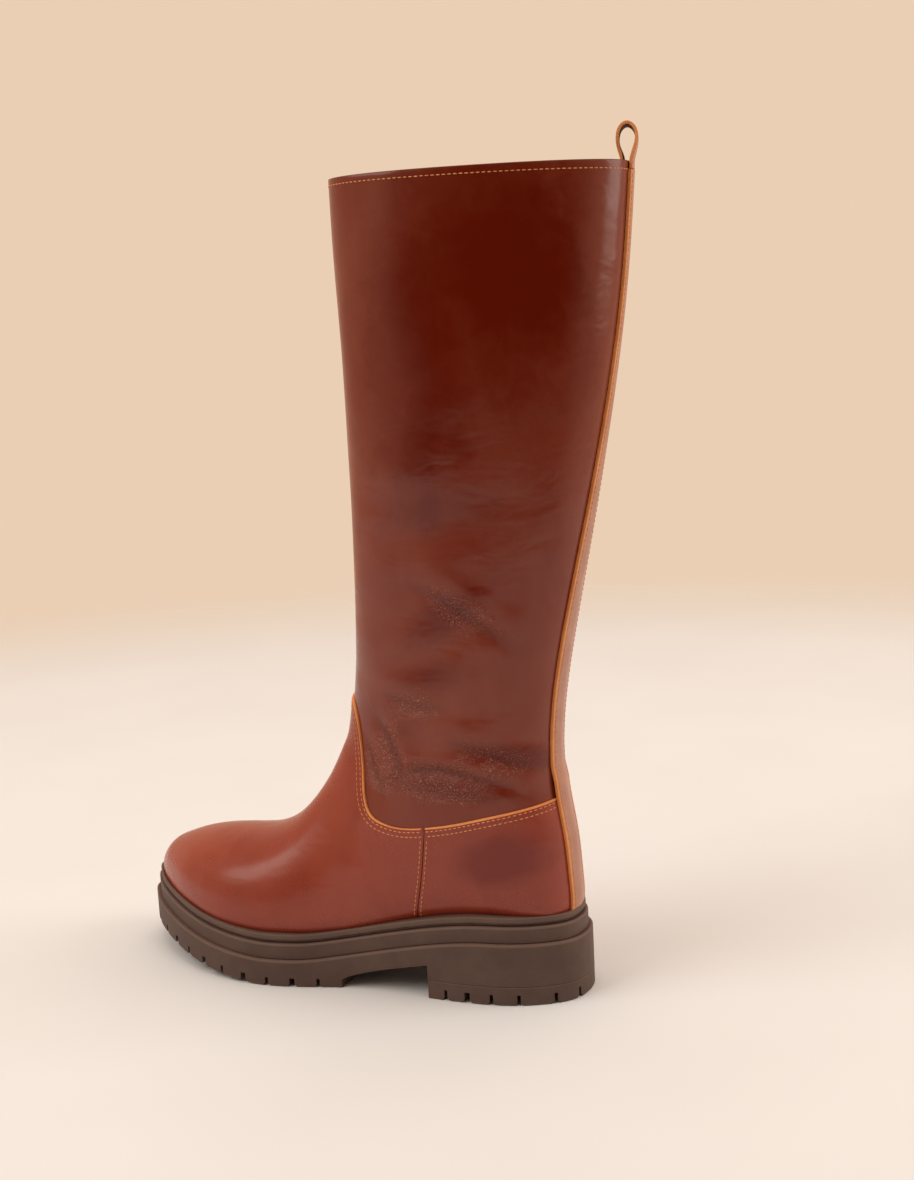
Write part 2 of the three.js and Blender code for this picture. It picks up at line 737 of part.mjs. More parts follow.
const gussetColumns = 3; // faces across the gusset
const gussetRun = 3; // how far it runs on under the slit's lower end
const gussetDrop = 1; // how far it stays under the top line

function makeGusset() {
  const from = slitAround - gussetWidth / 2;
  const near = -leather - 2 * clearance;
  const far = near - gussetThickness;
  const firstRow = slitFirstRow / outerSteps;
  const made = patch(innerGrid, firstRow, from, from + gussetWidth, gussetColumns, () => far, () => near);
  const lowZ = collarHeight - slitHeight - gussetRun;
  return made.intersect(box(-reach, reach, -reach, reach, lowZ, collarHeight - gussetDrop));
}

// Middle line of the loop's strap: [out from the shaft's surface, up from the collar]
const loopShape = [
  [1.15, -3],
  [1.2, 0.5],
  [1.9, 4],
  [3.2, 9],
  [3.5, 14],
  [1.9, 18.2],
  [-1.4, 20.1],
  [-4.6, 18.3],
  [-6.3, 13.6],
  [-5.6, 8],
  [-4, 3.6],
];
const loopPoints = 26;
const loopColumns = 4;
const loopEase = 0.4; // extra room between the inner leg and the shaft's lining
const flatFrom = 1; // the strap turns from round to flat from this height over the collar
const flatOver = 14; // and over this height
const backLean = 0.11; // the back line moves outwards this much for each millimetre up

function makePullLoop() {
  const leg = -leather - clearance - loopThickness / 2 - loopEase;
  const tail = [0, loopTail / 2, loopTail].map((drop) => [leg - backLean * drop, -drop]);
  const shape = [...loopShape, ...tail].map(([r, z]) => new THREE.Vector2(r, z));
  const line = new THREE.SplineCurve(shape).getPoints(loopPoints);
  const out = line.map((_, n) => {
    const along = line[Math.min(loopPoints, n + 1)].clone().sub(line[Math.max(0, n - 1)]).normalize();
    return new THREE.Vector2(along.y, -along.x).multiplyScalar(loopThickness / 2);
  });
  const outside = line.map((p, n) => p.clone().add(out[n]));
  const inside = line.map((p, n) => p.clone().sub(out[n]));
  const edge = [...outside, ...inside.reverse()];
  const row = outerGrid.length - 1;
  const level = (v) => new THREE.Vector3(v.x, v.y, 0).normalize();
  const middle = backPoint(outerGrid, row, 0);
  const flatOut = level(middle.normal);
  const flatAcross = new THREE.Vector3(-flatOut.y, flatOut.x, 0);
  // The strap lies round the collar at its foot and runs flat over the top
  const vertices = Array.from({ length: loopColumns + 1 }, (_, k) => {
    const across = (k / loopColumns - 0.5) * stripWidth;
    const { point, normal } = backPoint(outerGrid, row, across);
    return edge.map(({ x: r, y: z }) => {
      const bent = point.clone().addScaledVector(level(normal), r);
      const flat = middle.point.clone().addScaledVector(flatOut, r).addScaledVector(flatAcross, across);
      return bent.lerp(flat, smooth((z - flatFrom) / flatOver)).setZ(collarHeight + z);
    });
  }).flat();
  const count = edge.length;
  const faces = [];
  for (let k = 0; k < loopColumns; k++)
    for (let n = 0; n < count; n++) {
      const [a, b] = [k * count + n, k * count + ((n + 1) % count)];
      faces.push([a, b + count, b], [a, a + count, b + count]);
    }
  const end = loopColumns * count;
  for (let n = 0; n < loopPoints; n++) {
    const far = count - 1 - n;
    faces.push([n, n + 1, far], [n + 1, far - 1, far]);
    faces.push([end + n, end + far, end + n + 1], [end + n + 1, end + far, end + far - 1]);
  }
  return solid(vertices, faces);
}

function makeInsole() {
  const inside = lastSolid(innerGrid, -leather - clearance, 0);
  const low = (x) => midsoleTopAt(x) + clearance;
  return inside.intersect(slab([[0, low], [0, (x) => low(x) + sockThickness]]));
}

const tidyEdge = 0.04; // edges that a cut leaves shorter than this are closed up
function meshOf(name, made, colour, roughness) {
  const mesh = made.simplify(tidyEdge).getMesh();
  const positions = new Float32Array(mesh.numVert * 3);
  for (let n = 0; n < mesh.numVert; n++)
    positions.set(mesh.vertProperties.subarray(n * mesh.numProp, n * mesh.numProp + 3), n * 3);
  const geometry = new THREE.BufferGeometry();
  geometry.setAttribute("position", new THREE.BufferAttribute(positions, 3));
  geometry.setIndex(new THREE.BufferAttribute(mesh.triVerts, 1));
  geometry.computeVertexNormals();
  const finish = new THREE.MeshStandardMaterial({ color: colour, roughness, metalness: 0 });
  const shown = new THREE.Mesh(geometry, finish);
  shown.name = name;
  return shown;
}

const footOutside = lastSolid(outerGrid, panelStep + clearance, 0);
const leatherBrown = 0x6e2a16;
const stripBrown = 0x8a4a2e;
const sockTan = 0xb08a60;
const rubber = 0x4a3a33;
const boot = new THREE.Group();
boot.add(meshOf("upper", makeUpper(), leatherBrown, 0.35));
boot.add(meshOf("back_strip", makeBackStrip(), stripBrown, 0.5));
boot.add(meshOf("pull_loop", makePullLoop(), stripBrown, 0.5));
boot.add(meshOf("gusset", makeGusset(), leatherBrown, 0.5));
boot.add(meshOf("insole", makeInsole(), sockTan, 0.8));
boot.add(meshOf("welt", makeWelt(footOutside), rubber, 0.7));
boot.add(meshOf("midsole", makeMidsole(), rubber, 0.7));
boot.add(meshOf("outsole", makeOutsole(), rubber, 0.7));
boot.add(meshOf("heel_tread", makeHeelTread(), rubber, 0.7));

// The origin goes to the middle of the boot, seen from above, on the floor
const middle = new THREE.Box3().setFromObject(boot).getCenter(new THREE.Vector3());
for (const piece of boot.children) piece.geometry.translate(-middle.x, -middle.y, 0);

export default boot;
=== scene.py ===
"""Left knee-high leather boot on a lugged rubber sole.

Lengths are in millimetres in the boot's own axes, +X to the toe, +Y to the outer side and +Z up, with x = 0
at the middle of the sole. in_metres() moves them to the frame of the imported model.
"""

import math

import bpy
import numpy as np
from mathutils import Matrix, Vector
from mathutils.bvhtree import BVHTree


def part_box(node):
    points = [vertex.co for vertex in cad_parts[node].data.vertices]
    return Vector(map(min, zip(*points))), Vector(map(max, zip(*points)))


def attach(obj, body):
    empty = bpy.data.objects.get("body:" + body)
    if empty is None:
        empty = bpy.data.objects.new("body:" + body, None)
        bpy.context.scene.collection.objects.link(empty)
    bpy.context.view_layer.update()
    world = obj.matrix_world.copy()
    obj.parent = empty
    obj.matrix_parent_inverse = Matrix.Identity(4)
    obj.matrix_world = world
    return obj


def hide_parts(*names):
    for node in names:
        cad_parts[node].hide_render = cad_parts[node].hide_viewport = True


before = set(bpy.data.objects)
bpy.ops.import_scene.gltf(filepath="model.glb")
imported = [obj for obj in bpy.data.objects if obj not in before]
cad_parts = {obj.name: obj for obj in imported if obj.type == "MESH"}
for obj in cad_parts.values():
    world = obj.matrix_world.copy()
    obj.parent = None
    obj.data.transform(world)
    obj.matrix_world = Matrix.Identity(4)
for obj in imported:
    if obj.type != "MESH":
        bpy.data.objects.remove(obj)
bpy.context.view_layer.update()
bpy.ops.object.select_all(action="DESELECT")
scene = bpy.context.scene

# Sizes of the boot
SOLE_LENGTH = 292.0
BALL_WIDTH = 104.0
COLLAR_HEIGHT = 450.0
SHAFT_DEPTH = 160.0
SHAFT_TWIST = math.radians(17)
LEATHER = 2.1
PANEL_STEP = 1.3
CLEARANCE = 0.3
HEEL_X = -SOLE_LENGTH / 2
TOE_X = SOLE_LENGTH / 2
HEEL_LENGTH = 83.0
HEEL_BREAST_X = HEEL_X + HEEL_LENGTH
WAIST_LENGTH = 54.0
TREAD_X = HEEL_BREAST_X + WAIST_LENGTH
WAIST_CURVE = 0.8
BED_HEIGHT = 30.0
HEEL_LIFT = 19.5
LIFT_FROM_X = 21.9
LIFT_LENGTH = 121.8
TOE_SPRING = 16.0
SPRING_FROM_X = 35.9
SPRING_CURVE = 1.4
WELT_HEIGHT = 5.2
MIDSOLE_HEIGHT = 9.3
HEEL_TREAD_HEIGHT = 11.0
LUG_DEPTH = 5.2
HEEL_LUG_DEPTH = 6.2
ARCH_RISE = 19.5
STRIP_WIDTH = 18.0
STRIP_THICKNESS = 1.8
LOOP_THICKNESS = 1.7
LOOP_START = 3.0
SLIT_HEIGHT = 77.0
SLIT_AROUND = 38.0

outsole_low, outsole_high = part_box("outsole")
TO_FRAME = np.array([outsole_low.x * 1000 - HEEL_X, outsole_high.y * 1000 - BALL_WIDTH / 2, 0])


def in_metres(points):
    return (np.asarray(points, float) + TO_FRAME) / 1000


def smooth(share):
    share = np.clip(share, 0, 1)
    return share * share * (3 - 2 * share)


# Heights along the foot
def floor_at(x):
    return TOE_SPRING * np.clip((x - SPRING_FROM_X) / (TOE_X - SPRING_FROM_X), 0, 1) ** SPRING_CURVE


def bed_at(x):
    return BED_HEIGHT + HEEL_LIFT * smooth((LIFT_FROM_X - x) / LIFT_LENGTH) + floor_at(x)


def midsole_top_at(x):
    return bed_at(x) - WELT_HEIGHT


def outsole_top_at(x):
    return midsole_top_at(x) - MIDSOLE_HEIGHT


def waist_at(x):
    share = np.clip((TREAD_X - x) / WAIST_LENGTH, 0, 1)
    return LUG_DEPTH + (ARCH_RISE - LUG_DEPTH) * share**WAIST_CURVE


def curve_through(knots, values, places):
    """Smooth curve through rows of values that stand at knots, read at places"""
    values = np.asarray(values, float)
    gaps = np.diff(knots)
    count = len(knots)
    matrix = np.eye(count)
    right = np.zeros_like(values)
    for n in range(1, count - 1):
        matrix[n, n - 1 : n + 2] = gaps[n - 1], 2 * (gaps[n - 1] + gaps[n]), gaps[n]
        right[n] = 6 * ((values[n + 1] - values[n]) / gaps[n] - (values[n] - values[n - 1]) / gaps[n - 1])
    bends = np.linalg.solve(matrix, right)
    n = np.clip(np.searchsorted(knots, places, side="right") - 1, 0, count - 2)
    span = gaps[n][:, None]
    low = ((knots[n + 1] - places) / gaps[n])[:, None]
    high = 1 - low
    bend = (low**3 - low) * bends[n] + (high**3 - high) * bends[n + 1]
    return low * values[n] + high * values[n + 1] + bend * span**2 / 6


def lengths_of(points):
    steps = np.linalg.norm(np.diff(np.asarray(points, float), axis=0), axis=1)
    return np.concatenate([[0], np.cumsum(steps)])


def even_curve(points, count):
    """Count + 1 points at even distances on a smooth curve through points"""
    knots = lengths_of(points)
    fine = curve_through(knots, points, np.linspace(0, knots[-1], 12 * count))
    along = lengths_of(fine)
    wanted = np.linspace(0, along[-1], count + 1)
    return np.stack([np.interp(wanted, along, column) for column in fine.T], axis=1)


# The last, in sections from the toe to the collar. Each foot section: top line x and z, low line x and its
# height over the bed, outer and inner half width, swing to the side, place of the belly, and fullness of the
# crown and the base.
FOOT_SECTIONS = [
    (137.2, 50.5, 137.2, 1, 4, 4, -10.6, 0.5, 2, 2),
    (136.5, 53.2, 136.7, -2, 8, 8, -11, 0.6, 2, 2.3),
    (134.2, 56.8, 134.8, -6, 11.8, 11.8, -11.1, 0.64, 2, 2.7),
    (130.2, 60.4, 131, -8, 16.2, 16.2, -10.8, 0.66, 2.05, 3),
    (122, 64.6, 123, -9, 22.6, 22.6, -9.6, 0.67, 2.05, 3.3),
    (110, 69, 111.4, -9, 29.6, 29.6, -7.6, 0.68, 2.1, 3.5),
    (94, 72.9, 96, -9, 36.3, 36.6, -4.8, 0.68, 2.1, 3.5),
    (73, 75.9, 75, -9, 41.9, 41.7, -1.2, 0.68, 2.1, 3.5),
    (51.5, 79.6, 48.5, -9, 44.8, 40.8, 0, 0.68, 2.1, 3.5),
    (32.6, 88.6, 22, -9, 42.6, 36.4, 0, 0.68, 2.1, 3.5),
    (17, 103.5, -8.5, -9, 36.8, 33, 0, 0.67, 2.15, 3.5),
    (5.7, 120, -42, -9, 33.3, 31.6, 0, 0.65, 2.15, 3.5),
    (-2.5, 136, -80, -9, 32.6, 31.6, 0, 0.63, 2.2, 3.5),
    (-6.9, 149, -120, -9, 32.4, 31.8, 0, 0.58, 2.2, 3.1),
    (-9, 162, -136, -5, 32.5, 32, 0, 0.55, 2.2, 2.65),
    (-10.8, 174.5, -138, 17, 32.8, 32.4, 0, 0.54, 2.2, 2.5),
    (-12.3, 186.5, -136.5, 38, 33.2, 33, 0, 0.53, 2.2, 2.4),
]
# Each shaft section: front z, back z, front x, depth, half width, place of the belly
SHAFT_SECTIONS = [
    (198, 112, -13.5, 119.4, 34, 0.52),
    (221, 150, -15.5, 116.4, 34.6, 0.51),
    (248, 190, -17.5, 120.3, 35.6, 0.5),
    (281, 233, -19.5, 127.2, 37, 0.5),
    (319, 285, -20.8, 136.4, 39, 0.5),
    (364, 342, -21.4, 146, 40.6, 0.5),
    (408, 397, -20.5, 154.7, 41, 0.5),
    (450.5, 450.6, -20.2, SHAFT_DEPTH, 41, 0.5),
]
SHAFT_FULLNESS = (2.2, 2.3)
SHAFT_MIDDLE_X = SHAFT_SECTIONS[-1][2] - SHAFT_DEPTH / 2
TWIST_FROM = 176.4
TWIST_TO = 404.4

LAST_ROWS = 600
LAST_COLUMNS = 720
BACK_COLUMN = LAST_COLUMNS / 2
ALL_COLUMNS = np.arange(LAST_COLUMNS + 1)


def section_table():
    rows = []
    for top_x, top_z, low_x, over_bed, *rest in FOOT_SECTIONS:
        rows.append([top_x, top_z, low_x, bed_at(low_x) + over_bed, *rest])
    for front_z, back_z, front_x, depth, half, belly in SHAFT_SECTIONS:
        rows.append([front_x, front_z, front_x - depth, back_z, half, half, 0, belly, *SHAFT_FULLNESS])
    return np.array(rows, float)


def quarter_of(section, half, base):
    """A quarter of a section, from its top or low line to its belly, at even distances"""
    top_x, top_z, low_x, low_z, belly = section[[0, 1, 2, 3, 7]]
    power = section[9] if base else section[8]
    angle = np.linspace(0, math.pi / 2, 60)
    end_share = np.cos(angle) ** (2 / power)
    place = belly + (1 - belly) * end_share if base else belly * (1 - end_share)
    width = half * np.sin(angle) ** (2 / power)
    span = math.hypot(low_x - top_x, low_z - top_z)
    along = lengths_of(np.stack([place * span, width], axis=1))
    wanted = np.linspace(0, along[-1], LAST_COLUMNS // 4 + 1)
    return np.interp(wanted, along, place), np.interp(wanted, along, width)


def ring_of(section):
    """One closed section: outer side from the top line to the low line, then back up the inner side"""
    top_x, top_z, low_x, low_z, outer, inner, swing = section[:7]
    places = []
    widths = []
    for half, side in ((outer, 1), (inner, -1)):
        crown_place, crown_width = quarter_of(section, half, False)
        base_place, base_width = quarter_of(section, half, True)
        place = np.concatenate([crown_place, base_place[::-1][1:]])
        width = np.concatenate([crown_width, base_width[::-1][1:]]) * side
        places.append(place if side > 0 else place[::-1][1:])
        widths.append(width if side > 0 else width[::-1][1:])
    place = np.concatenate(places)
    width = np.concatenate(widths)
    return np.stack([top_x + place * (low_x - top_x), swing + width, top_z + place * (low_z - top_z)], axis=1)


def twisted(points):
    """The shaft turns a little over the foot, about its own middle"""
    turn = SHAFT_TWIST * smooth((points[..., 2] - TWIST_FROM) / (TWIST_TO - TWIST_FROM))
    x = points[..., 0] - SHAFT_MIDDLE_X
    y = points[..., 1]
    turned_x = SHAFT_MIDDLE_X + x * np.cos(turn) - y * np.sin(turn)
    return np.stack([turned_x, x * np.sin(turn) + y * np.cos(turn), points[..., 2]], axis=-1)


def build_last():
    table = section_table()
    top = lengths_of(table[:, :2])
    low = lengths_of(table[:, 2:4])
    knots = (top + low) / 2
    rows = curve_through(knots, table, np.linspace(0, knots[-1], LAST_ROWS + 1))
    points = twisted(np.array([ring_of(row) for row in rows]))
    along = np.gradient(points, axis=0)
    around = np.empty_like(points)
    around[:, 1:-1] = points[:, 2:] - points[:, :-2]
    around[:, 0] = around[:, -1] = points[:, 1] - points[:, -2]
    normals = np.cross(around, along)
    return points, normals / np.linalg.norm(normals, axis=-1, keepdims=True)


LAST, LAST_NORMALS = build_last()


def on_last(row, column):
    """Point and outward normal at a place along the last, as a row, and a place round it, as a column"""
    row = np.clip(row, 0, LAST_ROWS - 0.001)
    column = np.mod(column, LAST_COLUMNS)
    i = row.astype(int)
    j = column.astype(int)
    u = (row - i)[..., None]
    v = (column - j)[..., None]

    def read(grid):
        low = grid[i, j] * (1 - v) + grid[i, j + 1] * v
        high = grid[i + 1, j] * (1 - v) + grid[i + 1, j + 1] * v
        return low * (1 - u) + high * u

    return read(LAST), read(LAST_NORMALS)


# Creases by the ankle and up the shaft, as lines of (x, z) in the side view, half width, depth and side
TROUGHS = [
    ([(-50, 127), (-60, 130), (-76, 131), (-92, 128.5), (-114, 123)], 3.0, 1.9, 1),
    ([(-34, 158), (-42, 145), (-47, 133), (-50, 122)], 4.5, 1.3, 1),
    ([(-25, 143), (-31, 127), (-38, 112)], 3.6, 0.8, 1),
    ([(-84, 147), (-100, 143), (-118, 136), (-130, 131)], 3.4, 1.1, 1),
    ([(-40, 172), (-58, 168), (-80, 166)], 4.5, 0.9, 1),
    ([(-62, 235), (-82, 228), (-102, 214), (-122, 200)], 5.0, 1.1, 1),
    ([(-44, 119), (-72, 117), (-104, 115.5)], 3.0, 0.45, 1),
    ([(-42, 140), (-62, 134), (-86, 130), (-112, 127)], 3.4, 1.2, -1),
    ([(-34, 163), (-52, 152), (-78, 147)], 4.5, 0.9, -1),
    ([(-62, 205), (-86, 214), (-112, 217)], 5.0, 0.7, -1),
]
# Dents and, with a depth below zero, swells: x, z, half length, half height, tilt in degrees, depth and side
DENTS = [
    (-86, 266, 30, 12, -12, 1.1, 1),
    (-60, 296, 22, 13, 8, -0.8, 1),
    (-98, 212, 24, 9, -32, 0.9, 1),
    (-66, 205, 20, 12, -20, -0.7, 1),
    (-92, 388, 22, 13, -18, 0.7, 1),
    (-70, 350, 16, 26, 5, 0.7, 1),
    (-116, 330, 14, 30, -5, -0.6, 1),
    (-60, 180, 26, 10, -8, -0.9, 1),
    (-96, 155, 24, 8, -10, -0.9, 1),
    (-62, 415, 18, 20, 10, -0.5, 1),
    (-10, 72, 20, 11, 35, -0.7, 1),
    (-104, 88, 24, 12, -10, -0.7, 1),
    (-70, 250, 28, 15, 14, 1.0, -1),
    (-92, 185, 26, 11, -12, -0.9, -1),
    (-84, 340, 18, 26, 8, 0.8, -1),
    (-100, 95, 22, 12, -8, -0.7, -1),
]
# Patches that wear has polished darker: x, z, half length, half height, tilt in degrees, strength and side
POLISHED = [
    (-106, 82, 30, 18, -8, 1.3, 1),
    (-102, 74, 64, 50, 0, 0.5, 1),
    (-78, 121, 44, 8, 5, 1.0, 1),
    (-112, 140, 28, 8, 8, 0.9, 1),
    (-50, 152, 18, 7, -14, 0.6, 1),
    (-68, 184, 30, 10, -8, 0.75, 1),
    (-88, 222, 40, 13, -32, 0.85, 1),
    (-86, 276, 44, 20, -6, 0.75, 1),
    (-84, 360, 40, 95, 3, 0.95, 1),
    (-118, 400, 58, 90, 0, 0.9, 1),
    (-82, 128, 38, 10, 8, 0.9, -1),
    (-80, 215, 34, 14, -18, 0.8, -1),
    (-86, 340, 38, 90, 0, 0.9, -1),
    (-100, 84, 28, 18, -6, 0.8, -1),
]
CREASE_RIDGE = 0.6  # the ridge over a crease, as a share of its depth
SIDE_BLEND = 24.0  # how far a crease fades out round the front and the back


def line_distance(x, z, line):
    """Distance from a line in the side view, above it positive, and how far along it the nearest place is"""
    fine = even_curve(line, 24)
    best = np.full(x.shape, np.inf)
    signed = np.zeros(x.shape)
    share = np.zeros(x.shape)
    for n in range(len(fine) - 1):
        a = fine[n]
        step = fine[n + 1] - a
        t = np.clip(((x - a[0]) * step[0] + (z - a[1]) * step[1]) / (step @ step), 0, 1)
        gap_x = x - a[0] - t * step[0]
        gap_z = z - a[1] - t * step[1]
        gap = np.hypot(gap_x, gap_z)
        nearer = gap < best
        best = np.where(nearer, gap, best)
        side = np.sign(step[1] * gap_x - step[0] * gap_z)
        signed = np.where(nearer, gap * side, signed)
        share = np.where(nearer, (n + t) / (len(fine) - 1), share)
    return signed, share


def side_of(points, side):
    """Share of a crease or patch that shows at a point, 1 on its own side of the boot"""
    return smooth(0.5 + side * points[..., 1] / SIDE_BLEND)


def patch_share(x, z, patch):
    """A soft oval patch in the side view, 1 at its middle"""
    centre_x, centre_z, long, tall, tilt = patch
    turn = math.radians(tilt)
    along = ((x - centre_x) * math.cos(turn) + (z - centre_z) * math.sin(turn)) / long
    across = ((z - centre_z) * math.cos(turn) - (x - centre_x) * math.sin(turn)) / tall
    return np.exp(-(along**2) - across**2)


def crease_lift(points):
    """How far the leather stands out from the last, how wrinkled it is there, and how deep in a fold, where
    shade is painted
    """
    x = points[..., 0]
    z = points[..., 2]
    lift = np.zeros(x.shape)
    wrinkled = np.zeros(x.shape)
    fold = np.zeros(x.shape)
    for line, half, depth, side in TROUGHS:
        gap, share = line_distance(x, z, line)
        fade = np.sqrt(np.clip(np.sin(math.pi * np.clip(share, 0.02, 0.98)), 0, 1)) * side_of(points, side)
        trough = np.exp(-((gap / half) ** 2))
        ridge = np.exp(-(((gap - 2.1 * half) / (1.4 * half)) ** 2))
        lift += depth * fade * (CREASE_RIDGE * ridge - trough)
        wrinkled += fade * np.exp(-((gap / (3 * half)) ** 2))
        fold = np.maximum(fold, depth * fade * np.exp(-((gap / (0.55 * half)) ** 2)))
    for *patch, depth, side in DENTS:
        lift -= depth * patch_share(x, z, patch) * side_of(points, side)
    return lift, np.clip(wrinkled, 0, 1), np.clip(fold, 0, 1)


def polish_at(points):
    polish = np.zeros(points.shape[:-1])
    for *patch, strength, side in POLISHED:
        share = strength * patch_share(points[..., 0], points[..., 2], patch) * side_of(points, side)
        polish = np.maximum(polish, share)
    return polish


def leather_point(row, column, offset):
    """A point of the upper's outside, grown off the last by an offset, and the values for its finish"""
    point, normal = on_last(row, column)
    lift, wrinkled, fold = crease_lift(point)
    moved = point + normal * (np.asarray(offset) + lift)[..., None]
    return moved, {"wrinkled": wrinkled, "fold": fold, "polish": polish_at(moved)}


# Upper edge of the foot panels in the side view, from the front of the ankle to the heel
SEAM_LINE = [
    (17.5, 169.2), (5.8, 168), (-2.9, 166.3), (-9.6, 165.1), (-12.3, 163.4), (-15.8, 158.8), (-18.7, 151.8),
    (-20.7, 142.1), (-23.1, 125.7), (-25.1, 110), (-29.2, 101.5), (-38, 97.2), (-47.3, 95.9), (-63.1, 97.4),
    (-78.8, 100.6), (-96.9, 105.4), (-118, 110.3), (-134.3, 113.5), (-163.5, 119.1),
]
# Side seam between vamp and counter in the side view
SIDE_SEAM = [(-63.6, 106), (-63.2, 97.4), (-61.9, 85), (-59.6, 67.3), (-54.6, 45), (-51, 28)]


def crossing(beyond):
    """For each place round the last, the place along it where beyond turns positive for good"""
    before = np.clip(LAST_ROWS - np.argmax((beyond < 0)[::-1], axis=0), 0, LAST_ROWS - 1)
    low = beyond[before, ALL_COLUMNS]
    high = beyond[before + 1, ALL_COLUMNS]
    return before + np.clip(low / (low - high), 0, 1)


seam_curve = even_curve(SEAM_LINE, 160)[::-1]


def seam_height(x):
    return np.interp(x, seam_curve[:, 0], seam_curve[:, 1])


def seam_rows():
    """Places along the last of the top seam and of the side seam, for each column"""
    seam = crossing(LAST[..., 2] - seam_height(LAST[..., 0]))
    side_line = even_curve(SIDE_SEAM, 60)[::-1]
    behind = np.interp(LAST[..., 2], side_line[:, 1], side_line[:, 0]) - LAST[..., 0]
    first = np.argmax(behind > 0, axis=0)
    before = np.clip(first - 1, 0, None)
    low = behind[before, ALL_COLUMNS]
    high = behind[first, ALL_COLUMNS]
    side = np.where(first > 0, before + np.clip(low / (low - high + 1e-9), 0, 1), LAST_ROWS)
    return seam, side


SEAM_ROWS, SIDE_ROWS = seam_rows()


def at_column(values, column):
    return np.interp(np.mod(column, LAST_COLUMNS), ALL_COLUMNS, values)


def row_step(row, column):
    """Millimetres along the last for one row of it"""
    ahead = on_last(row + 1, column)[0]
    behind = on_last(row - 1, column)[0]
    return np.linalg.norm(ahead - behind, axis=-1) / 2


def around_step(row):
    """Millimetres round the back of the last for one column of it"""
    middle = np.full(np.shape(row), BACK_COLUMN)
    a = on_last(row, middle - 4)[0]
    b = on_last(row, middle + 4)[0]
    return np.linalg.norm(a - b, axis=-1) / 8


def rows_of_height(height, column):
    """Place along the last where a column reaches a height"""
    column = np.atleast_1d(column)
    columns = np.rint(np.mod(column, LAST_COLUMNS)).astype(int)
    rows = np.arange(LAST_ROWS // 2, LAST_ROWS + 1)
    return np.array([np.interp(height, LAST[rows, n, 2], rows) for n in columns])


# Mesh helpers
def active(piece):
    bpy.ops.object.select_all(action="DESELECT")
    piece.select_set(True)
    bpy.context.view_layer.objects.active = piece


def laid_grid(name, across, along, place):
    """A flat grid whose corners are laid where place(column, row) says, with values kept for the material"""
    bpy.ops.mesh.primitive_grid_add(x_subdivisions=across, y_subdivisions=along, size=1)
    piece = bpy.context.object
    piece.name = name
    mesh = piece.data
    flat = np.empty(len(mesh.vertices) * 3)
    mesh.vertices.foreach_get("co", flat)
    flat = flat.reshape(-1, 3)
    column = np.rint((flat[:, 0] + 0.5) * across).astype(int)
    row = np.rint((flat[:, 1] + 0.5) * along).astype(int)
    points, values = place(column, row)
    mesh.vertices.foreach_set("co", in_metres(points).ravel())
    keep(mesh, {"grid_column": column, "grid_row": row, **values})
    mesh.update()
    return piece


def keep(mesh, values):
    """Keeps values at the corners of a mesh, by name"""
    for name, value in values.items():
        layer = mesh.attributes.new(name, "FLOAT", "POINT")
        layer.data.foreach_set("value", np.asarray(value, np.float32))


def kept(mesh, name):
    values = np.empty(len(mesh.vertices), np.float32)
    mesh.attributes[name].data.foreach_get("value", values)
    return values


def faces_of(mesh):
    """Corner numbers of a mesh of four-cornered faces, a row per face"""
    corners = np.empty(len(mesh.loops), int)
    mesh.loops.foreach_get("vertex_index", corners)
    return corners.reshape(-1, 4)


def shape_all(piece, *steps):
    """Runs operators on the whole of a piece in edit mode"""
    active(piece)
    bpy.ops.object.mode_set(mode="EDIT")
    bpy.ops.mesh.select_all(action="SELECT")
    for operator, settings in steps:
        operator(**settings)
    bpy.ops.object.mode_set(mode="OBJECT")


def delete_faces(piece, chosen):
    active(piece)
    bpy.ops.object.mode_set(mode="EDIT")
    bpy.ops.mesh.select_mode(type="FACE")
    bpy.ops.mesh.select_all(action="DESELECT")
    bpy.ops.object.mode_set(mode="OBJECT")
    piece.data.polygons.foreach_set("select", chosen)
    bpy.ops.object.mode_set(mode="EDIT")
    bpy.ops.mesh.delete(type="FACE")
    bpy.ops.object.mode_set(mode="OBJECT")


OUTWARDS = (bpy.ops.mesh.normals_make_consistent, {"inside": False})
MERGED = (bpy.ops.mesh.remove_doubles, {"threshold": 0.00001})


def smooth_shading(piece, angle):
    active(piece)
    bpy.ops.object.shade_smooth_by_angle(angle=math.radians(angle))


def worn_edges(piece, width, segments):
    """Takes the sharp edges off, by a width in millimetres"""
    active(piece)
    worn = piece.modifiers.new("worn", "BEVEL")
    worn.width = width / 1000
    worn.segments = segments
    worn.limit_method = "ANGLE"
    worn.angle_limit = math.radians(50)
    bpy.ops.object.modifier_apply(modifier="worn")


def paint(piece, materials, face_material=None):
    """Gives a piece its materials and, where there is more than one, says which each face has"""
    piece.data.materials.clear()
    for material in materials:
        piece.data.materials.append(material)
    if face_material is not None:
        piece.data.polygons.foreach_set("material_index", np.asarray(face_material, np.int32))


def finished(piece, slot, *nodes):
    """Puts a piece under the root and hides the nodes of the model that it stands for. The slot, what it is
    made of, is not used.
    """
    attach(piece, "root")
    if nodes:
        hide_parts(*nodes)
    return piece


def joined(pieces):
    bpy.ops.object.select_all(action="DESELECT")
    for piece in pieces:
        piece.select_set(True)
    bpy.context.view_layer.objects.active = pieces[0]
    bpy.ops.object.join()
    return bpy.context.object


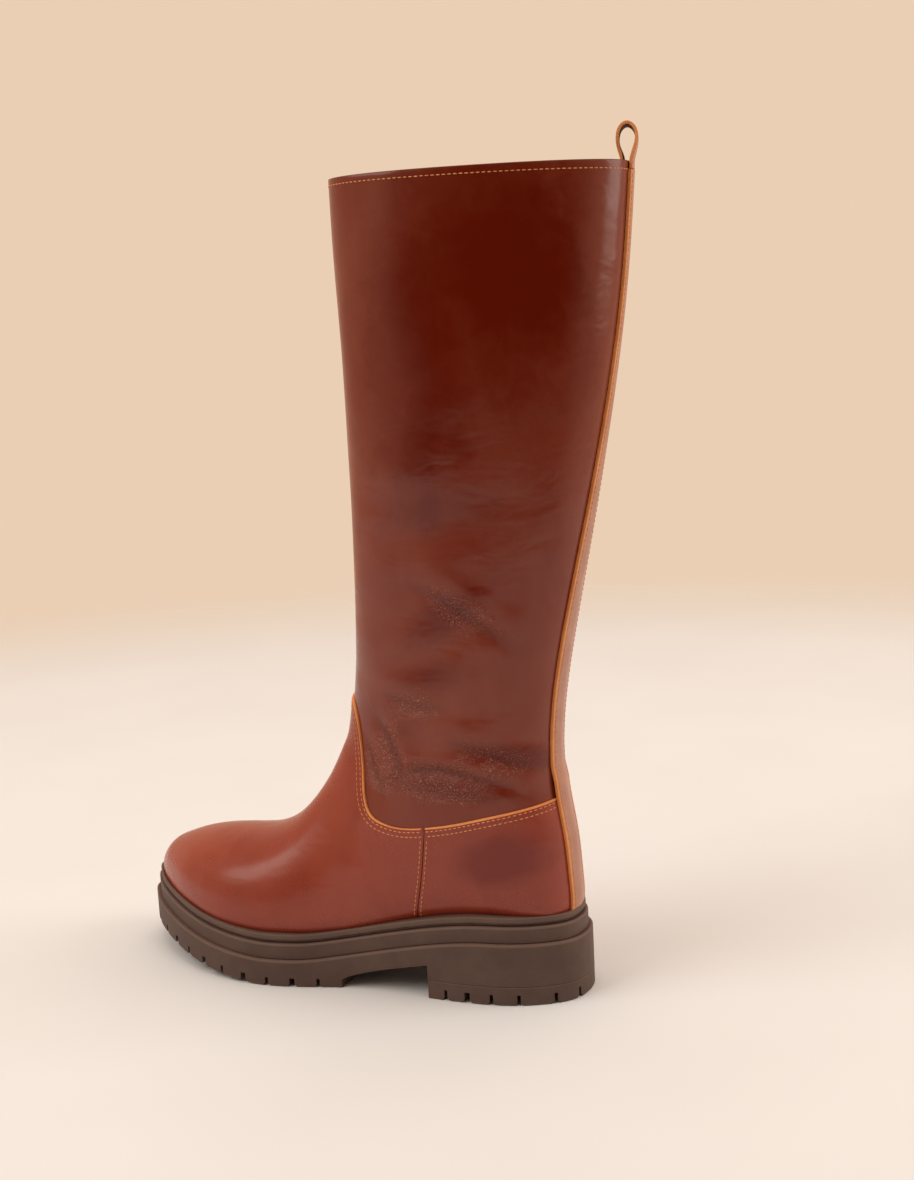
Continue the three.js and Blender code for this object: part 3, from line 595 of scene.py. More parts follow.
class Wire:
    """An output socket that can be used in sums"""

    def __init__(self, tree, socket):
        self.tree = tree
        self.socket = socket

    def sum_with(self, operation, other, swapped=False):
        node = self.tree.nodes.new("ShaderNodeMath")
        node.operation = operation
        pair = (other, self) if swapped else (self, other)
        for slot, value in zip(node.inputs, pair):
            put(self.tree, slot, value)
        return Wire(self.tree, node.outputs[0])

    def __add__(self, other):
        return self.sum_with("ADD", other)

    def __radd__(self, other):
        return self.sum_with("ADD", other, True)

    def __sub__(self, other):
        return self.sum_with("SUBTRACT", other)

    def __rsub__(self, other):
        return self.sum_with("SUBTRACT", other, True)

    def __mul__(self, other):
        return self.sum_with("MULTIPLY", other)

    def __rmul__(self, other):
        return self.sum_with("MULTIPLY", other, True)


def put(tree, slot, value):
    if isinstance(value, Wire):
        tree.links.new(value.socket, slot)
    elif isinstance(value, tuple) and len(value) == 3 and slot.type == "RGBA":
        slot.default_value = (*value, 1)
    else:
        slot.default_value = value


class Nodes:
    """Nodes of a material or of the room"""

    def __init__(self, tree):
        self.tree = tree

    def node(self, kind, settings=None, output=0, **inputs):
        """A node of a kind, with its settings, and its inputs by name or, after a line, by number"""
        node = self.tree.nodes.new("ShaderNode" + kind)
        for name, value in (settings or {}).items():
            setattr(node, name, value)
        for name, value in inputs.items():
            numbered = name[1:].isdigit()
            put(self.tree, node.inputs[int(name[1:]) if numbered else name.replace("_", " ")], value)
        return Wire(self.tree, node.outputs[output])

    def vector(self, operation, output=0, **inputs):
        return self.node("VectorMath", {"operation": operation}, output, **inputs)

    def range(self, value, low, high, to_low=0.0, to_high=1.0):
        settings = {"interpolation_type": "SMOOTHSTEP"}
        return self.node("MapRange", settings, _0=value, _1=low, _2=high, _3=to_low, _4=to_high)

    def mix(self, share, a, b):
        return self.node("Mix", {"data_type": "RGBA"}, 2, _0=share, _6=a, _7=b)


class Finish(Nodes):
    """A material with one Principled shader"""

    def __init__(self, name):
        self.material = bpy.data.materials.new(name)
        self.material.use_nodes = True
        super().__init__(self.material.node_tree)
        self.shader = self.tree.nodes["Principled BSDF"]
        self.place = self.node("TexCoord", None, "Object")

    def set(self, **inputs):
        for name, value in inputs.items():
            put(self.tree, self.shader.inputs[name.replace("_", " ")], value)

    def stretched(self, x, y, z, place=None):
        return self.node("Mapping", Vector=place or self.place, Scale=(x, y, z))

    def bent_place(self, scale, amount):
        """The place, pushed about a little so that lines on it waver"""
        push = self.node("TexNoise", None, "Color", Vector=self.place, Scale=scale, Detail=2.0)
        centred = self.vector("SUBTRACT", _0=push, _1=(0.5, 0.5, 0.5))
        step = self.vector("SCALE", _0=centred, _3=amount)
        return self.vector("ADD", _0=self.place, _1=step)

    def noise(self, scale, detail=2.0, roughness=0.5, distortion=0.0, place=None):
        values = {"Scale": scale, "Detail": detail, "Roughness": roughness, "Distortion": distortion}
        return self.node("TexNoise", Vector=place or self.place, **values)

    def cell_edges(self, scale, place):
        """Distance to the nearest edge of a net of small cells"""
        return self.node("TexVoronoi", {"feature": "DISTANCE_TO_EDGE"}, Vector=place, Scale=scale)

    def value_on(self, name):
        """Value kept at the corners of the piece under a name"""
        return self.node("Attribute", {"attribute_name": name}, "Fac")

    def bump(self, height, distance, under=None):
        inputs = {"Height": height, "Distance": distance, "Strength": 1.0}
        if under is not None:
            inputs["Normal"] = under
        return self.node("Bump", **inputs)


PAINTED_GLINT = (0.62, 0.34, 0.25)
FOLD_PAINTED_SHADE = (0.085, 0.011, 0.006)


def polished_leather(name, deep, dark, light, roughness, shine):
    """Polished calf leather: soft clouds of colour, dark glossy patches and a fine crackle by the creases,
    with painted shade along the folds and painted glints by the creases
    """
    leather = Finish(name)
    wrinkled = leather.value_on("wrinkled")
    fold = leather.value_on("fold")
    clouds = leather.noise(11, 3, 0.5, 0.4)
    streaks = leather.noise(38, 4, 0.6, 0.6, leather.stretched(1, 1, 0.45))
    ragged = leather.noise(70, 4, 0.65, 0.8)
    uneven_edge = (clouds - 0.5) * 1.3 + (ragged - 0.5) * 0.5 + (streaks - 0.5) * 0.5
    patches = leather.range(leather.value_on("polish") + uneven_edge, 0.15, 0.95)
    shade = leather.mix(leather.range(clouds * 0.6 + streaks * 0.4, 0.36, 0.62), dark, light)
    shade = leather.mix(patches, shade, deep)

    wavy = leather.bent_place(14, 0.012)
    crackle = leather.cell_edges(640, leather.stretched(0.55, 1, 1.5, wavy))
    fine_crackle = leather.cell_edges(1300, leather.stretched(0.7, 1, 1.3, wavy))
    edges = leather.range(crackle, 0.0, 0.09, 1.0, 0.0)
    where = leather.range(leather.noise(70, 4, 0.65) + (wrinkled - 0.5) * 0.5, 0.46, 0.72) * wrinkled
    shade = leather.mix(edges * where * 0.16, shade, tuple(1.7 * part + 0.05 for part in light))
    # Painted glints: pale specks by the creases that stand in for sparkles of light on the crackle
    painted_glints = leather.range(leather.noise(1300, 3, 0.7), 0.56, 0.66) * where * where
    shade = leather.mix(painted_glints * 0.6, shade, PAINTED_GLINT)
    # Painted shade: darker colour along the bottoms of the creases, deepest where the fold is deepest
    shade = leather.mix(fold * 0.55, shade, FOLD_PAINTED_SHADE)

    pores = leather.noise(900, 2, 0.6)
    uneven = leather.noise(22, 2, 0.5)
    rough = roughness - patches * 0.1 + (uneven - 0.5) * 0.1 + (pores - 0.5) * 0.04 + edges * where * 0.08
    waves = leather.bump(leather.noise(17, 1.5, 0.45), 0.0024)
    ripples = leather.bump(leather.noise(48, 2, 0.5, 0.4, leather.stretched(0.6, 1, 1.4)), 0.0005, waves)
    cracks = leather.bump(leather.range(crackle, 0.0, 0.25) * where, 0.00016, ripples)
    fine_cracks = leather.bump(leather.range(fine_crackle, 0.0, 0.3) * where, 0.00007, cracks)
    grain = leather.bump(pores, 0.000025, fine_cracks)
    leather.set(Base_Color=shade, Roughness=rough, Normal=grain, Specular_IOR_Level=shine)
    return leather.material


def plain_leather(name, dark, light, roughness, grain_depth):
    """Satin or suede leather without a polish"""
    leather = Finish(name)
    shade = leather.mix(leather.range(leather.noise(35, 4, 0.6), 0.3, 0.7), dark, light)
    grain = leather.noise(1100, 3, 0.65)
    shade = leather.mix(leather.range(grain, 0.35, 0.75) * 0.35, shade, tuple(0.6 * part for part in dark))
    rough = roughness + (grain - 0.5) * 0.1
    leather.set(Base_Color=shade, Roughness=rough, Normal=leather.bump(grain, grain_depth))
    return leather.material


def moulded_rubber():
    """Dull rubber with fine grit, a little paler at its edges, most at the top ones: partly worn, partly a
    painted highlight where light catches them
    """
    rubber = Finish("sole_rubber")
    mottle = rubber.noise(45, 4, 0.6)
    grit = rubber.noise(1500, 2, 0.6)
    shade = rubber.mix(rubber.range(mottle, 0.3, 0.7), (0.088, 0.055, 0.044), (0.112, 0.072, 0.058))
    # Paler edges: partly scuffed rubber, partly a painted highlight where light catches the top edges
    shade = rubber.mix(rubber.value_on("edge") * 0.3, shade, (0.25, 0.175, 0.145))
    shade = rubber.mix(rubber.range(grit, 0.55, 0.8) * 0.3, shade, (0.06, 0.037, 0.029))
    rubber.set(
        Base_Color=shade,
        Roughness=0.62 + (mottle - 0.5) * 0.12 + (grit - 0.5) * 0.1,
        Normal=rubber.bump(grit, 0.00006, rubber.bump(rubber.noise(30, 2), 0.0005)),
        Specular_IOR_Level=0.3,
    )
    return rubber.material


SHAFT_LEATHER = polished_leather(
    "shaft_leather", (0.122, 0.0085, 0.001), (0.175, 0.026, 0.011), (0.205, 0.042, 0.021), 0.23, 0.4
)
FOOT_LEATHER = polished_leather(
    "foot_leather", (0.165, 0.012, 0.003), (0.245, 0.036, 0.016), (0.30, 0.052, 0.025), 0.27, 0.45
)
STRIP_LEATHER = plain_leather("strip_leather", (0.40, 0.185, 0.12), (0.50, 0.25, 0.17), 0.36, 0.00003)
RAW_EDGE = plain_leather("raw_edge", (0.74, 0.27, 0.075), (0.88, 0.37, 0.12), 0.75, 0.0001)
LINING = plain_leather("lining_leather", (0.42, 0.27, 0.15), (0.50, 0.33, 0.19), 0.7, 0.00006)
SUEDE = plain_leather("loop_suede", (0.13, 0.045, 0.02), (0.18, 0.07, 0.03), 0.85, 0.0001)
THREAD = plain_leather("waxed_thread", (0.72, 0.27, 0.085), (0.86, 0.38, 0.14), 0.6, 0.00008)
RUBBER = moulded_rubber()


# Foot panels
EDGE_WIDTH = 1.6
EDGE_FOOT = PANEL_STEP + 0.4
# Rows of a panel towards a cut edge: distance from the edge, depth under the panel's face
EDGE_ROWS = [(1.0, 0.02), (0.5, 0.08), (0.2, 0.2), (0.0, 0.42), (0.0, EDGE_FOOT)]
RAW_ROWS = 4  # rows of faces at a cut edge that show raw leather


def even_columns(from_column, to_column, edge_rows, count):
    """Places round the last, shared between even steps round it and even steps along an edge"""
    columns = np.linspace(from_column, to_column, 1600)
    edge = on_last(at_column(edge_rows, columns), columns)[0]
    along = lengths_of(edge)
    measure = 0.5 * (columns - from_column) / (to_column - from_column) + 0.5 * along / along[-1]
    return np.interp(np.linspace(0, 1, count + 1), measure, columns)


def panel_rows(low, high, column, row, rows, cut_low):
    """Places along the last and depths under the panel's face, for rows of a panel between two edges"""
    step = np.maximum(row_step(high, column), 0.05)
    count = len(EDGE_ROWS)
    low_count = count if cut_low else 0
    middle = (low + high) / 2
    inner_low = np.minimum(low + EDGE_WIDTH / step, middle) if cut_low else low
    inner_high = np.maximum(high - EDGE_WIDTH / step, middle)
    share = np.clip((row - low_count) / (rows - count - low_count), 0, 1)
    along = inner_low + (inner_high - inner_low) * share
    drop = np.zeros(len(row))
    for n, (away, depth) in enumerate(EDGE_ROWS):
        by_high = row == rows - count + 1 + n
        along = np.where(by_high, np.maximum(high - away / step, inner_high), along)
        by_low = (row == count - 1 - n) & cut_low
        along = np.where(by_low, np.minimum(low + away / step, inner_low), along)
        drop = np.where(by_high | by_low, depth, drop)
    return along, drop


def stood_on_sole(points):
    """Leather under the midsole's top is brought up to it"""
    floor = midsole_top_at(points[..., 0]) + CLEARANCE
    under = points[..., 2] < floor
    points[..., 2] = np.maximum(points[..., 2], floor)
    return under


def open_underneath(piece):
    under = kept(piece.data, "under") > 0.5
    delete_faces(piece, under[faces_of(piece.data)].all(axis=1))


def make_panel(name, ends, edges, grid, cut_low):
    """A foot panel between two columns and two edges. One with no cut low edge closes over the toe."""
    low_rows, high_rows = edges
    across, rows = grid
    columns = even_columns(*ends, high_rows, across)

    def place(column, row):
        where = columns[column]
        low = at_column(low_rows, where)
        high = at_column(high_rows, where)
        along, drop = panel_rows(low, high, where, row, rows, cut_low)
        points, finish_values = leather_point(along, where, PANEL_STEP - drop)
        if not cut_low:
            tip = on_last(np.zeros(2), np.array([0.0, BACK_COLUMN]))[0].mean(axis=0)
            tip += (PANEL_STEP + 0.1, 0, 0)
            points = np.where((row == 0)[:, None], tip, points)
        under = stood_on_sole(points)
        cut = high > at_column(SEAM_ROWS, where) - 0.02
        return points, {**finish_values, "under": under, "cut": cut}

    panel = laid_grid(name, across, rows, place)
    open_underneath(panel)
    faces = faces_of(panel.data)
    face_rows = kept(panel.data, "grid_row")[faces].mean(axis=1)
    rim = (face_rows > rows - RAW_ROWS) & (kept(panel.data, "cut")[faces].min(axis=1) > 0.5)
    paint(panel, [FOOT_LEATHER, RAW_EDGE], rim.astype(int))
    shape_all(panel, MERGED)
    smooth_shading(panel, 50)
    return finished(panel, "leather")


SEAM_GAP = 0.18  # half of the line between vamp and counter
VAMP_GRID = (300, 140)
COUNTER_GRID = (200, 84)
side_step = np.maximum(row_step(np.clip(SIDE_ROWS, 2, LAST_ROWS - 2), ALL_COLUMNS.astype(float)), 0.1)
vamp_edges = (0 * SEAM_ROWS, np.minimum(SEAM_ROWS, SIDE_ROWS - SEAM_GAP / side_step))
counter_edges = (np.minimum(SIDE_ROWS + SEAM_GAP / side_step, SEAM_ROWS), SEAM_ROWS)
counter_ends = np.nonzero(SIDE_ROWS < SEAM_ROWS)[0][[0, -1]]
vamp = make_panel("vamp", (0, LAST_COLUMNS), vamp_edges, VAMP_GRID, False)
counter = make_panel("counter", counter_ends, counter_edges, COUNTER_GRID, True)

# Shaft with its lining
SHAFT_COLUMNS = 228
OUTSIDE_ROWS = 196
INSIDE_ROWS = 80
SLIT_ROWS = 40
SHAFT_FINISHES = [SHAFT_LEATHER, SUEDE, LINING, RAW_EDGE]
# Rounded rim of the collar: height over it, offset from the last
RIM = [(0.28, -0.15), (0.42, -0.65), (0.42, -1.45), (0.28, -1.95)]
INSIDE_FROM = OUTSIDE_ROWS + len(RIM) + 1
UNDER_PANEL = 12.0  # how far the shaft runs on under the foot panels
COLLAR_STEP = around_step(np.full(1, float(LAST_ROWS)))[0]
SLIT_ROW = 580.0  # place along the last by which the slit's width is measured
SLIT_STEP = around_step(np.full(1, SLIT_ROW))[0]
SLIT_HALF_GAP = 0.45
SLIT_OPENS = 0.75
SLIT_EASE = 12.0
SLIT_COLUMN = BACK_COLUMN + SLIT_AROUND / SLIT_STEP
SLIT_FIRST = int(SLIT_COLUMN * SHAFT_COLUMNS / LAST_COLUMNS)
SLIT_FOOT_Z = COLLAR_HEIGHT - SLIT_HEIGHT


def slit_half(z):
    """Half of the slit's gap, which opens a little towards the collar"""
    return SLIT_HALF_GAP + SLIT_OPENS * np.clip((z - SLIT_FOOT_Z) / SLIT_HEIGHT, 0, 1)


def shaft_places(column, row):
    """Places on the last, offsets and heights of a grid that runs up the outside and down the lining"""
    step = LAST_COLUMNS / SHAFT_COLUMNS
    where = column * step
    seam = at_column(SEAM_ROWS, where)
    start = seam - UNDER_PANEL / np.maximum(row_step(seam, where), 0.3)
    outside = start + (LAST_ROWS - start) * np.clip(row / OUTSIDE_ROWS, 0, 1)
    inside = LAST_ROWS * (1 - np.clip((row - INSIDE_FROM) / INSIDE_ROWS, 0, 1))
    along = np.where(row <= OUTSIDE_ROWS, outside, np.where(row < INSIDE_FROM, LAST_ROWS, inside))
    offset = np.where(row < INSIDE_FROM, 0.0, -LEATHER)
    raised = np.zeros(len(row))
    for n, (height, away) in enumerate(RIM):
        chosen = row == OUTSIDE_ROWS + 1 + n
        offset = np.where(chosen, away, offset)
        raised = np.where(chosen, height, raised)
    height = on_last(along, where)[0][..., 2]
    near = smooth((height - SLIT_FOOT_Z + SLIT_EASE) / SLIT_EASE)
    half = slit_half(height) / SLIT_STEP
    for beside_slit, side in ((SLIT_FIRST, -1), (SLIT_FIRST + 1, 1)):
        chosen = column == beside_slit
        where = np.where(chosen, where + (SLIT_COLUMN + side * half - where) * near, where)
    return along, where, offset, raised


def make_shaft():
    def place(column, row):
        along, where, offset, raised = shaft_places(column, row)
        points, finish_values = leather_point(along, where, offset)
        inside = row >= INSIDE_FROM
        plain, normal = on_last(along, where)
        points = np.where(inside[:, None], plain + normal * offset[:, None], points)
        points[..., 2] += raised
        under = stood_on_sole(points)
        return points, {**finish_values, "under": under, "height": plain[..., 2]}

    shaft = laid_grid("shaft", SHAFT_COLUMNS, INSIDE_FROM + INSIDE_ROWS, place)
    mesh = shaft.data
    faces = faces_of(mesh)
    face_column = kept(mesh, "grid_column")[faces].mean(axis=1)
    low = kept(mesh, "height")[faces].min(axis=1)
    slit = (np.abs(face_column - SLIT_FIRST - 0.5) < 0.25) & (low > SLIT_FOOT_Z - 0.5)
    under = (kept(mesh, "under") > 0.5)[faces].all(axis=1)
    delete_faces(shaft, slit | under)
    faces = faces_of(mesh)
    face_row = kept(mesh, "grid_row")[faces].mean(axis=1)
    rim = (face_row > OUTSIDE_ROWS) & (face_row < INSIDE_FROM)
    lining = face_row > INSIDE_FROM
    paint(shaft, SHAFT_FINISHES, rim * 1 + lining * 2)
    walls = [slit_wall(side) for side in (-1, 1)]
    shaft = joined([shaft, *walls])
    shape_all(shaft, MERGED)
    smooth_shading(shaft, 60)
    return finished(shaft, "leather", "upper")


def slit_wall(side):
    """Cut edge of the slit, from the outside to the lining"""
    low_row = rows_of_height(SLIT_FOOT_Z, SLIT_COLUMN)[0]

    def place(column, row):
        along = low_row + (LAST_ROWS - low_row) * row / SLIT_ROWS
        height = on_last(along, np.full(len(along), SLIT_COLUMN))[0][..., 2]
        where = SLIT_COLUMN + side * slit_half(height) / SLIT_STEP
        point, normal = on_last(along, where)
        depth = column if side > 0 else 1 - column
        points = point - normal * (depth * LEATHER)[:, None]
        return points, {"wrinkled": np.zeros(len(row)), "under": np.zeros(len(row))}

    wall = laid_grid("slit_wall", 1, SLIT_ROWS, place)
    paint(wall, SHAFT_FINISHES, np.full(SLIT_ROWS, SHAFT_FINISHES.index(RAW_EDGE)))
    return wall


shaft = make_shaft()

# Back strip
# Half the section of the strip: distance from its middle line, height as a share of its thickness
STRIP_HALF = [
    (9.0, 0.0), (9.0, 0.82), (8.75, 0.97), (7.9, 1.0), (6.6, 1.0), (4.5, 1.06), (2.6, 1.16), (1.3, 1.24),
    (0.0, 1.26),
]
STRIP_PROFILE = [(-across, height) for across, height in STRIP_HALF] + STRIP_HALF[-2::-1]
STRIP_ROWS = 240
STRIP_RAW = 3  # faces of the section at each edge that show raw leather
STRIP_TOP_Z = COLLAR_HEIGHT - LOOP_START - CLEARANCE
PANEL_RAMP = 9.0
STRIP_LIFT = 0.3  # share of a crease that still shows in the strip


def strip_base(point):
    """How far the strip's underside stands off the shaft: it ramps up on to the foot panels"""
    over = seam_height(point[..., 0]) + 2 * PANEL_RAMP - point[..., 2]
    return CLEARANCE * 0.5 + PANEL_STEP * np.clip(over / PANEL_RAMP, 0, 1)


def strip_point(across, along, height):
    """Point over the back seam, at a distance from it, a place along the last and a height over the base"""
    step = around_step(along)
    point, normal = on_last(along, BACK_COLUMN + across / step)
    lift = crease_lift(point)[0]
    return point + normal * (strip_base(point) + height + lift * STRIP_LIFT)[:, None]


def strip_start(across):
    """Place along the last where the strip meets the welt"""
    rows = np.arange(LAST_ROWS // 2, LAST_ROWS, dtype=float)
    step = around_step(rows)
    point = on_last(rows, BACK_COLUMN + across / step)[0]
    over = point[:, 2] - bed_at(point[:, 0]) - CLEARANCE
    last_under = np.nonzero(over < 0)[0]
    n = last_under[-1] if len(last_under) else 0
    return rows[n] + over[n] / (over[n] - over[n + 1])


strip_top_row = rows_of_height(STRIP_TOP_Z, BACK_COLUMN)[0]


def make_strip():
    profile = np.array(STRIP_PROFILE)
    starts = np.array([strip_start(across) for across in profile[:, 0]])

    def place(column, row):
        share = np.clip(row - 1, 0, STRIP_ROWS - 2) / (STRIP_ROWS - 2)
        along = starts[column] + (strip_top_row - starts[column]) * share
        end = (row == 0) | (row == STRIP_ROWS)
        height = np.where(end, 0.0, profile[column, 1] * STRIP_THICKNESS)
        points = strip_point(profile[column, 0], along, height)
        return points, {"wrinkled": np.zeros(len(row))}

    strip = laid_grid("strip", len(profile) - 1, STRIP_ROWS, place)
    faces = faces_of(strip.data)
    column = kept(strip.data, "grid_column")[faces].mean(axis=1)
    row = kept(strip.data, "grid_row")[faces].mean(axis=1)
    last = len(profile) - 1
    raw = (column < STRIP_RAW) | (column > last - STRIP_RAW) | (row < 1) | (row > STRIP_ROWS - 1)
    paint(strip, [STRIP_LEATHER, RAW_EDGE], raw.astype(int))
    smooth_shading(strip, 45)
    return finished(strip, "strip_leather", "back_strip")


strip = make_strip()

# Pull loop
# Line of the folded strap from the side: out from the last, up from the collar
LOOP_LINE = [
    (1.15, -3), (1.2, 0.5), (1.9, 4), (3.2, 9), (3.5, 14), (1.9, 18.2), (-1.4, 20.1), (-4.6, 18.3),
    (-6.3, 13.6), (-5.6, 8), (-4, 3.6), (-3.65, 0), (-5.08, -13), (-6.5, -26),
]
LOOP_ROWS = 96
LOOP_ACROSS = 12
LOOP_FLAT_FROM = 1.0  # over the collar the strap turns from the shaft's curve to flat
LOOP_FLAT_OVER = 14.0


def make_loop():
    line = even_curve(LOOP_LINE, LOOP_ROWS)
    collar = LAST_ROWS - 0.001

    def level(vectors):
        flat = vectors * np.array([1, 1, 0])
        return flat / np.linalg.norm(flat, axis=-1, keepdims=True)

    middle, middle_normal = on_last(np.full(1, collar), np.full(1, BACK_COLUMN))
    out = level(middle_normal)[0]
    aside = np.array([-out[1], out[0], 0])

    def place(column, row):
        across = (column / LOOP_ACROSS - 0.5) * STRIP_WIDTH
        away = line[row, 0]
        up = line[row, 1]
        point, normal = on_last(np.full(len(row), collar), BACK_COLUMN + across / COLLAR_STEP)
        bent = point + level(normal) * away[:, None]
        flat = middle[0] + out * away[:, None] + aside * across[:, None]
        share = smooth((up - LOOP_FLAT_FROM) / LOOP_FLAT_OVER)[:, None]
        points = bent * (1 - share) + flat * share
        points[:, 2] = COLLAR_HEIGHT + up
        return points, {"wrinkled": np.zeros(len(row))}

    loop = laid_grid("loop", LOOP_ACROSS, LOOP_ROWS, place)
    paint(loop, [STRIP_LEATHER, RAW_EDGE, SUEDE])
    wall = loop.modifiers.new("wall", "SOLIDIFY")
    wall.thickness = LOOP_THICKNESS / 1000
    wall.offset = 0
    wall.use_even_offset = True
    wall.material_offset = 2
    wall.material_offset_rim = 1
    bpy.ops.object.modifier_apply(modifier="wall")
    worn_edges(loop, 0.25, 2)
    smooth_shading(loop, 45)
    return finished(loop, "strip_leather", "pull_loop")


make_loop()

# Outline of the sole from above: share of its length from the heel, and both edges as shares of its width
OUTLINE_TABLE = np.array([
    (0.0, 0.0, 0.0), (0.005, 0.095, 0.095), (0.018, 0.17, 0.17), (0.045, 0.24, 0.24), (0.09, 0.31, 0.307),
    (0.15, 0.358, 0.352), (0.21, 0.375, 0.364), (0.3, 0.378, 0.355), (0.4, 0.375, 0.34), (0.47, 0.398, 0.35),
    (0.53, 0.445, 0.375), (0.6, 0.49, 0.42), (0.67, 0.5, 0.457), (0.74, 0.472, 0.475), (0.81, 0.402, 0.47),
    (0.87, 0.31, 0.437), (0.92, 0.212, 0.385), (0.96, 0.11, 0.315), (0.985, 0.02, 0.238),
    (0.997, -0.04, 0.155), (1.0, -0.093, 0.093),
])
OUTLINE_HALF = 160


def sole_outline():
    """Points of the sole's edge, heel to toe on the outer side and back on the inner side, pair by pair"""
    table = OUTLINE_TABLE * np.array([SOLE_LENGTH, BALL_WIDTH, -BALL_WIDTH]) + np.array([HEEL_X, 0, 0])
    knots = (lengths_of(table[:, [0, 1]]) + lengths_of(table[:, [0, 2]])) / 2
    rows = curve_through(knots, table, np.linspace(0, knots[-1], OUTLINE_HALF + 1))
    outer = rows[:, [0, 1]]
    inner = rows[::-1, :][1:-1][:, [0, 2]]
    return np.concatenate([outer, inner])


OUTLINE = sole_outline()
OUTER_EDGE = OUTLINE[: OUTLINE_HALF + 1]
INNER_EDGE = np.append(OUTLINE[OUTLINE_HALF:], OUTLINE[:1], axis=0)[::-1]
edge_along = np.roll(OUTLINE, -1, axis=0) - np.roll(OUTLINE, 1, axis=0)
edge_along /= np.linalg.norm(edge_along, axis=1, keepdims=True)
EDGE_INWARD = np.stack([edge_along[:, 1], -edge_along[:, 0]], axis=1)
PARTNER = (-np.arange(len(OUTLINE))) % len(OUTLINE)


def slab(name, profile):
    """A closed slab on the sole's outline. Each row: inset, height(x), share of the way inwards, and how much
    paler its edge is, from scuffing and a painted highlight
    """
    count = len(OUTLINE)

    def place(column, row):
        n = (-column) % count
        points = np.zeros((len(row), 3))
        worn = np.zeros(len(row))
        for k, (inset, height, share, wear_and_highlight) in enumerate(profile):
            chosen = row == k
            inset = np.broadcast_to(inset, count)
            ring = OUTLINE + EDGE_INWARD * inset[:, None]
            ring = ring + ((ring + ring[PARTNER]) / 2 - ring) * share
            at = ring[n[chosen]]
            points[chosen, :2] = at
            points[chosen, 2] = height(at[:, 0])
            worn[chosen] = wear_and_highlight
        return points, {"edge": worn}

    piece = laid_grid(name, count, len(profile) - 1, place)
    shape_all(piece, MERGED, OUTWARDS)
    return piece


def lower(height, by):
    return lambda x: height(x) - by


def level_at(z):
    return lambda x: 0 * x + z


CAPS = (1.0, 0.55, 0.2)  # rows of a slab's flat faces, as shares of the way to the middle line
QUARTER = (0, 30, 60, 90)  # degrees of a rounded edge
EDGE_RUN = 0.6  # how far a wall is plain over a rounded edge


def rounded(low_inset, low, high_inset, high, round_low, round_high):
    """Profile rows of a slab with rounded edges, closed to the middle line below and above"""

    def edge(inset, height, radius, up, wear_and_highlight):
        rows = []
        for degrees in QUARTER:
            turn = math.radians(degrees)
            away = inset + radius * (1 - math.cos(turn))
            rows.append((away, lower(height, up * radius * (1 - math.sin(turn))), 0, wear_and_highlight))
        return rows

    rows = [(low_inset + round_low, low, share, 0) for share in CAPS]
    rows += edge(low_inset, low, round_low, -1, 0.5)[::-1]
    rows.append((low_inset, lower(low, -round_low - EDGE_RUN), 0, 0))
    rows.append((high_inset, lower(high, round_high + EDGE_RUN), 0, 0))
    rows += edge(high_inset, high, round_high, 1, 1.0)
    rows += [(high_inset + round_high, high, share, 0) for share in CAPS[::-1]]
    return rows


def flat_face(corners):
    """A face on a row of corners in millimetres"""
    bpy.ops.mesh.primitive_circle_add(vertices=len(corners), radius=1, fill_type="NGON")
    piece = bpy.context.object
    piece.data.vertices.foreach_set("co", np.array(corners, float).ravel())
    return piece


def drawn_out(x, y, z):
    return bpy.ops.mesh.extrude_region_move, {"TRANSFORM_OT_translate": {"value": (x, y, z)}}


def prism(points, depth):
    """A prism on an outline in the x-z plane, from y = 0 to y = depth, in millimetres"""
    piece = flat_face([(x, 0, z) for x, z in points])
    shape_all(piece, drawn_out(0, depth, 0))
    shape_all(piece, OUTWARDS)
    return piece


def stand(piece, matrix):
    """Moves a cutting tool from millimetres at the origin to its place in the frame"""
    piece.data.transform(matrix)
    piece.data.transform(Matrix.Translation(Vector(TO_FRAME)))
    piece.data.transform(Matrix.Scale(0.001, 4))
    return piece


def cut(piece, tools):
    """Cuts the tools out of a piece and takes them away"""
    tool = joined(tools)
    shape_all(tool, OUTWARDS)
    active(piece)
    cutting = piece.modifiers.new("cutting", "BOOLEAN")
    cutting.operation = "DIFFERENCE"
    cutting.solver = "EXACT"
    cutting.use_self = True
    cutting.object = tool
    bpy.ops.object.modifier_apply(modifier="cutting")
    bpy.data.objects.remove(tool)


# Slots, grooves and lugs of the tread
edge_lengths = lengths_of(np.append(OUTLINE, OUTLINE[:1], axis=0))
SLOT_WIDTHS = (1.9, 3.2)
SLOT_REACH = 17.0
SLOT_FLARE = 1.7
LUG_PITCH = 15.7
BELOW = 5.0  # how far a slot's tool starts outside the rubber
BEYOND = 20.0  # how far the waist's and the breast's tools do
SOLE_ROUND = 0.9
MIDSOLE_INSET = 2.4
RING_WIDTH = 3.0
BAR_HALF = 1.7
BAR_TILT = math.radians(-12)
BAR_PLACES = (0.12, 0.25, 0.37)
TREAD_MARGIN = 13.5
# Slots of the heel on both sides: share of the heel's length from its breast, and which of SLOT_WIDTHS
HEEL_SLOTS = [(0.129, 0), (0.283, 1), (0.452, 0), (0.633, 0), (0.855, 0), (0.972, 0)]


def edge_length_at(x, outer):
    """Length along the outline, from the heel round the toe, of a place on its outer or inner edge"""
    if outer:
        return np.interp(x, OUTER_EDGE[:, 0], edge_lengths[: OUTLINE_HALF + 1])
    return np.interp(x, INNER_EDGE[:, 0], edge_lengths[OUTLINE_HALF:][::-1])


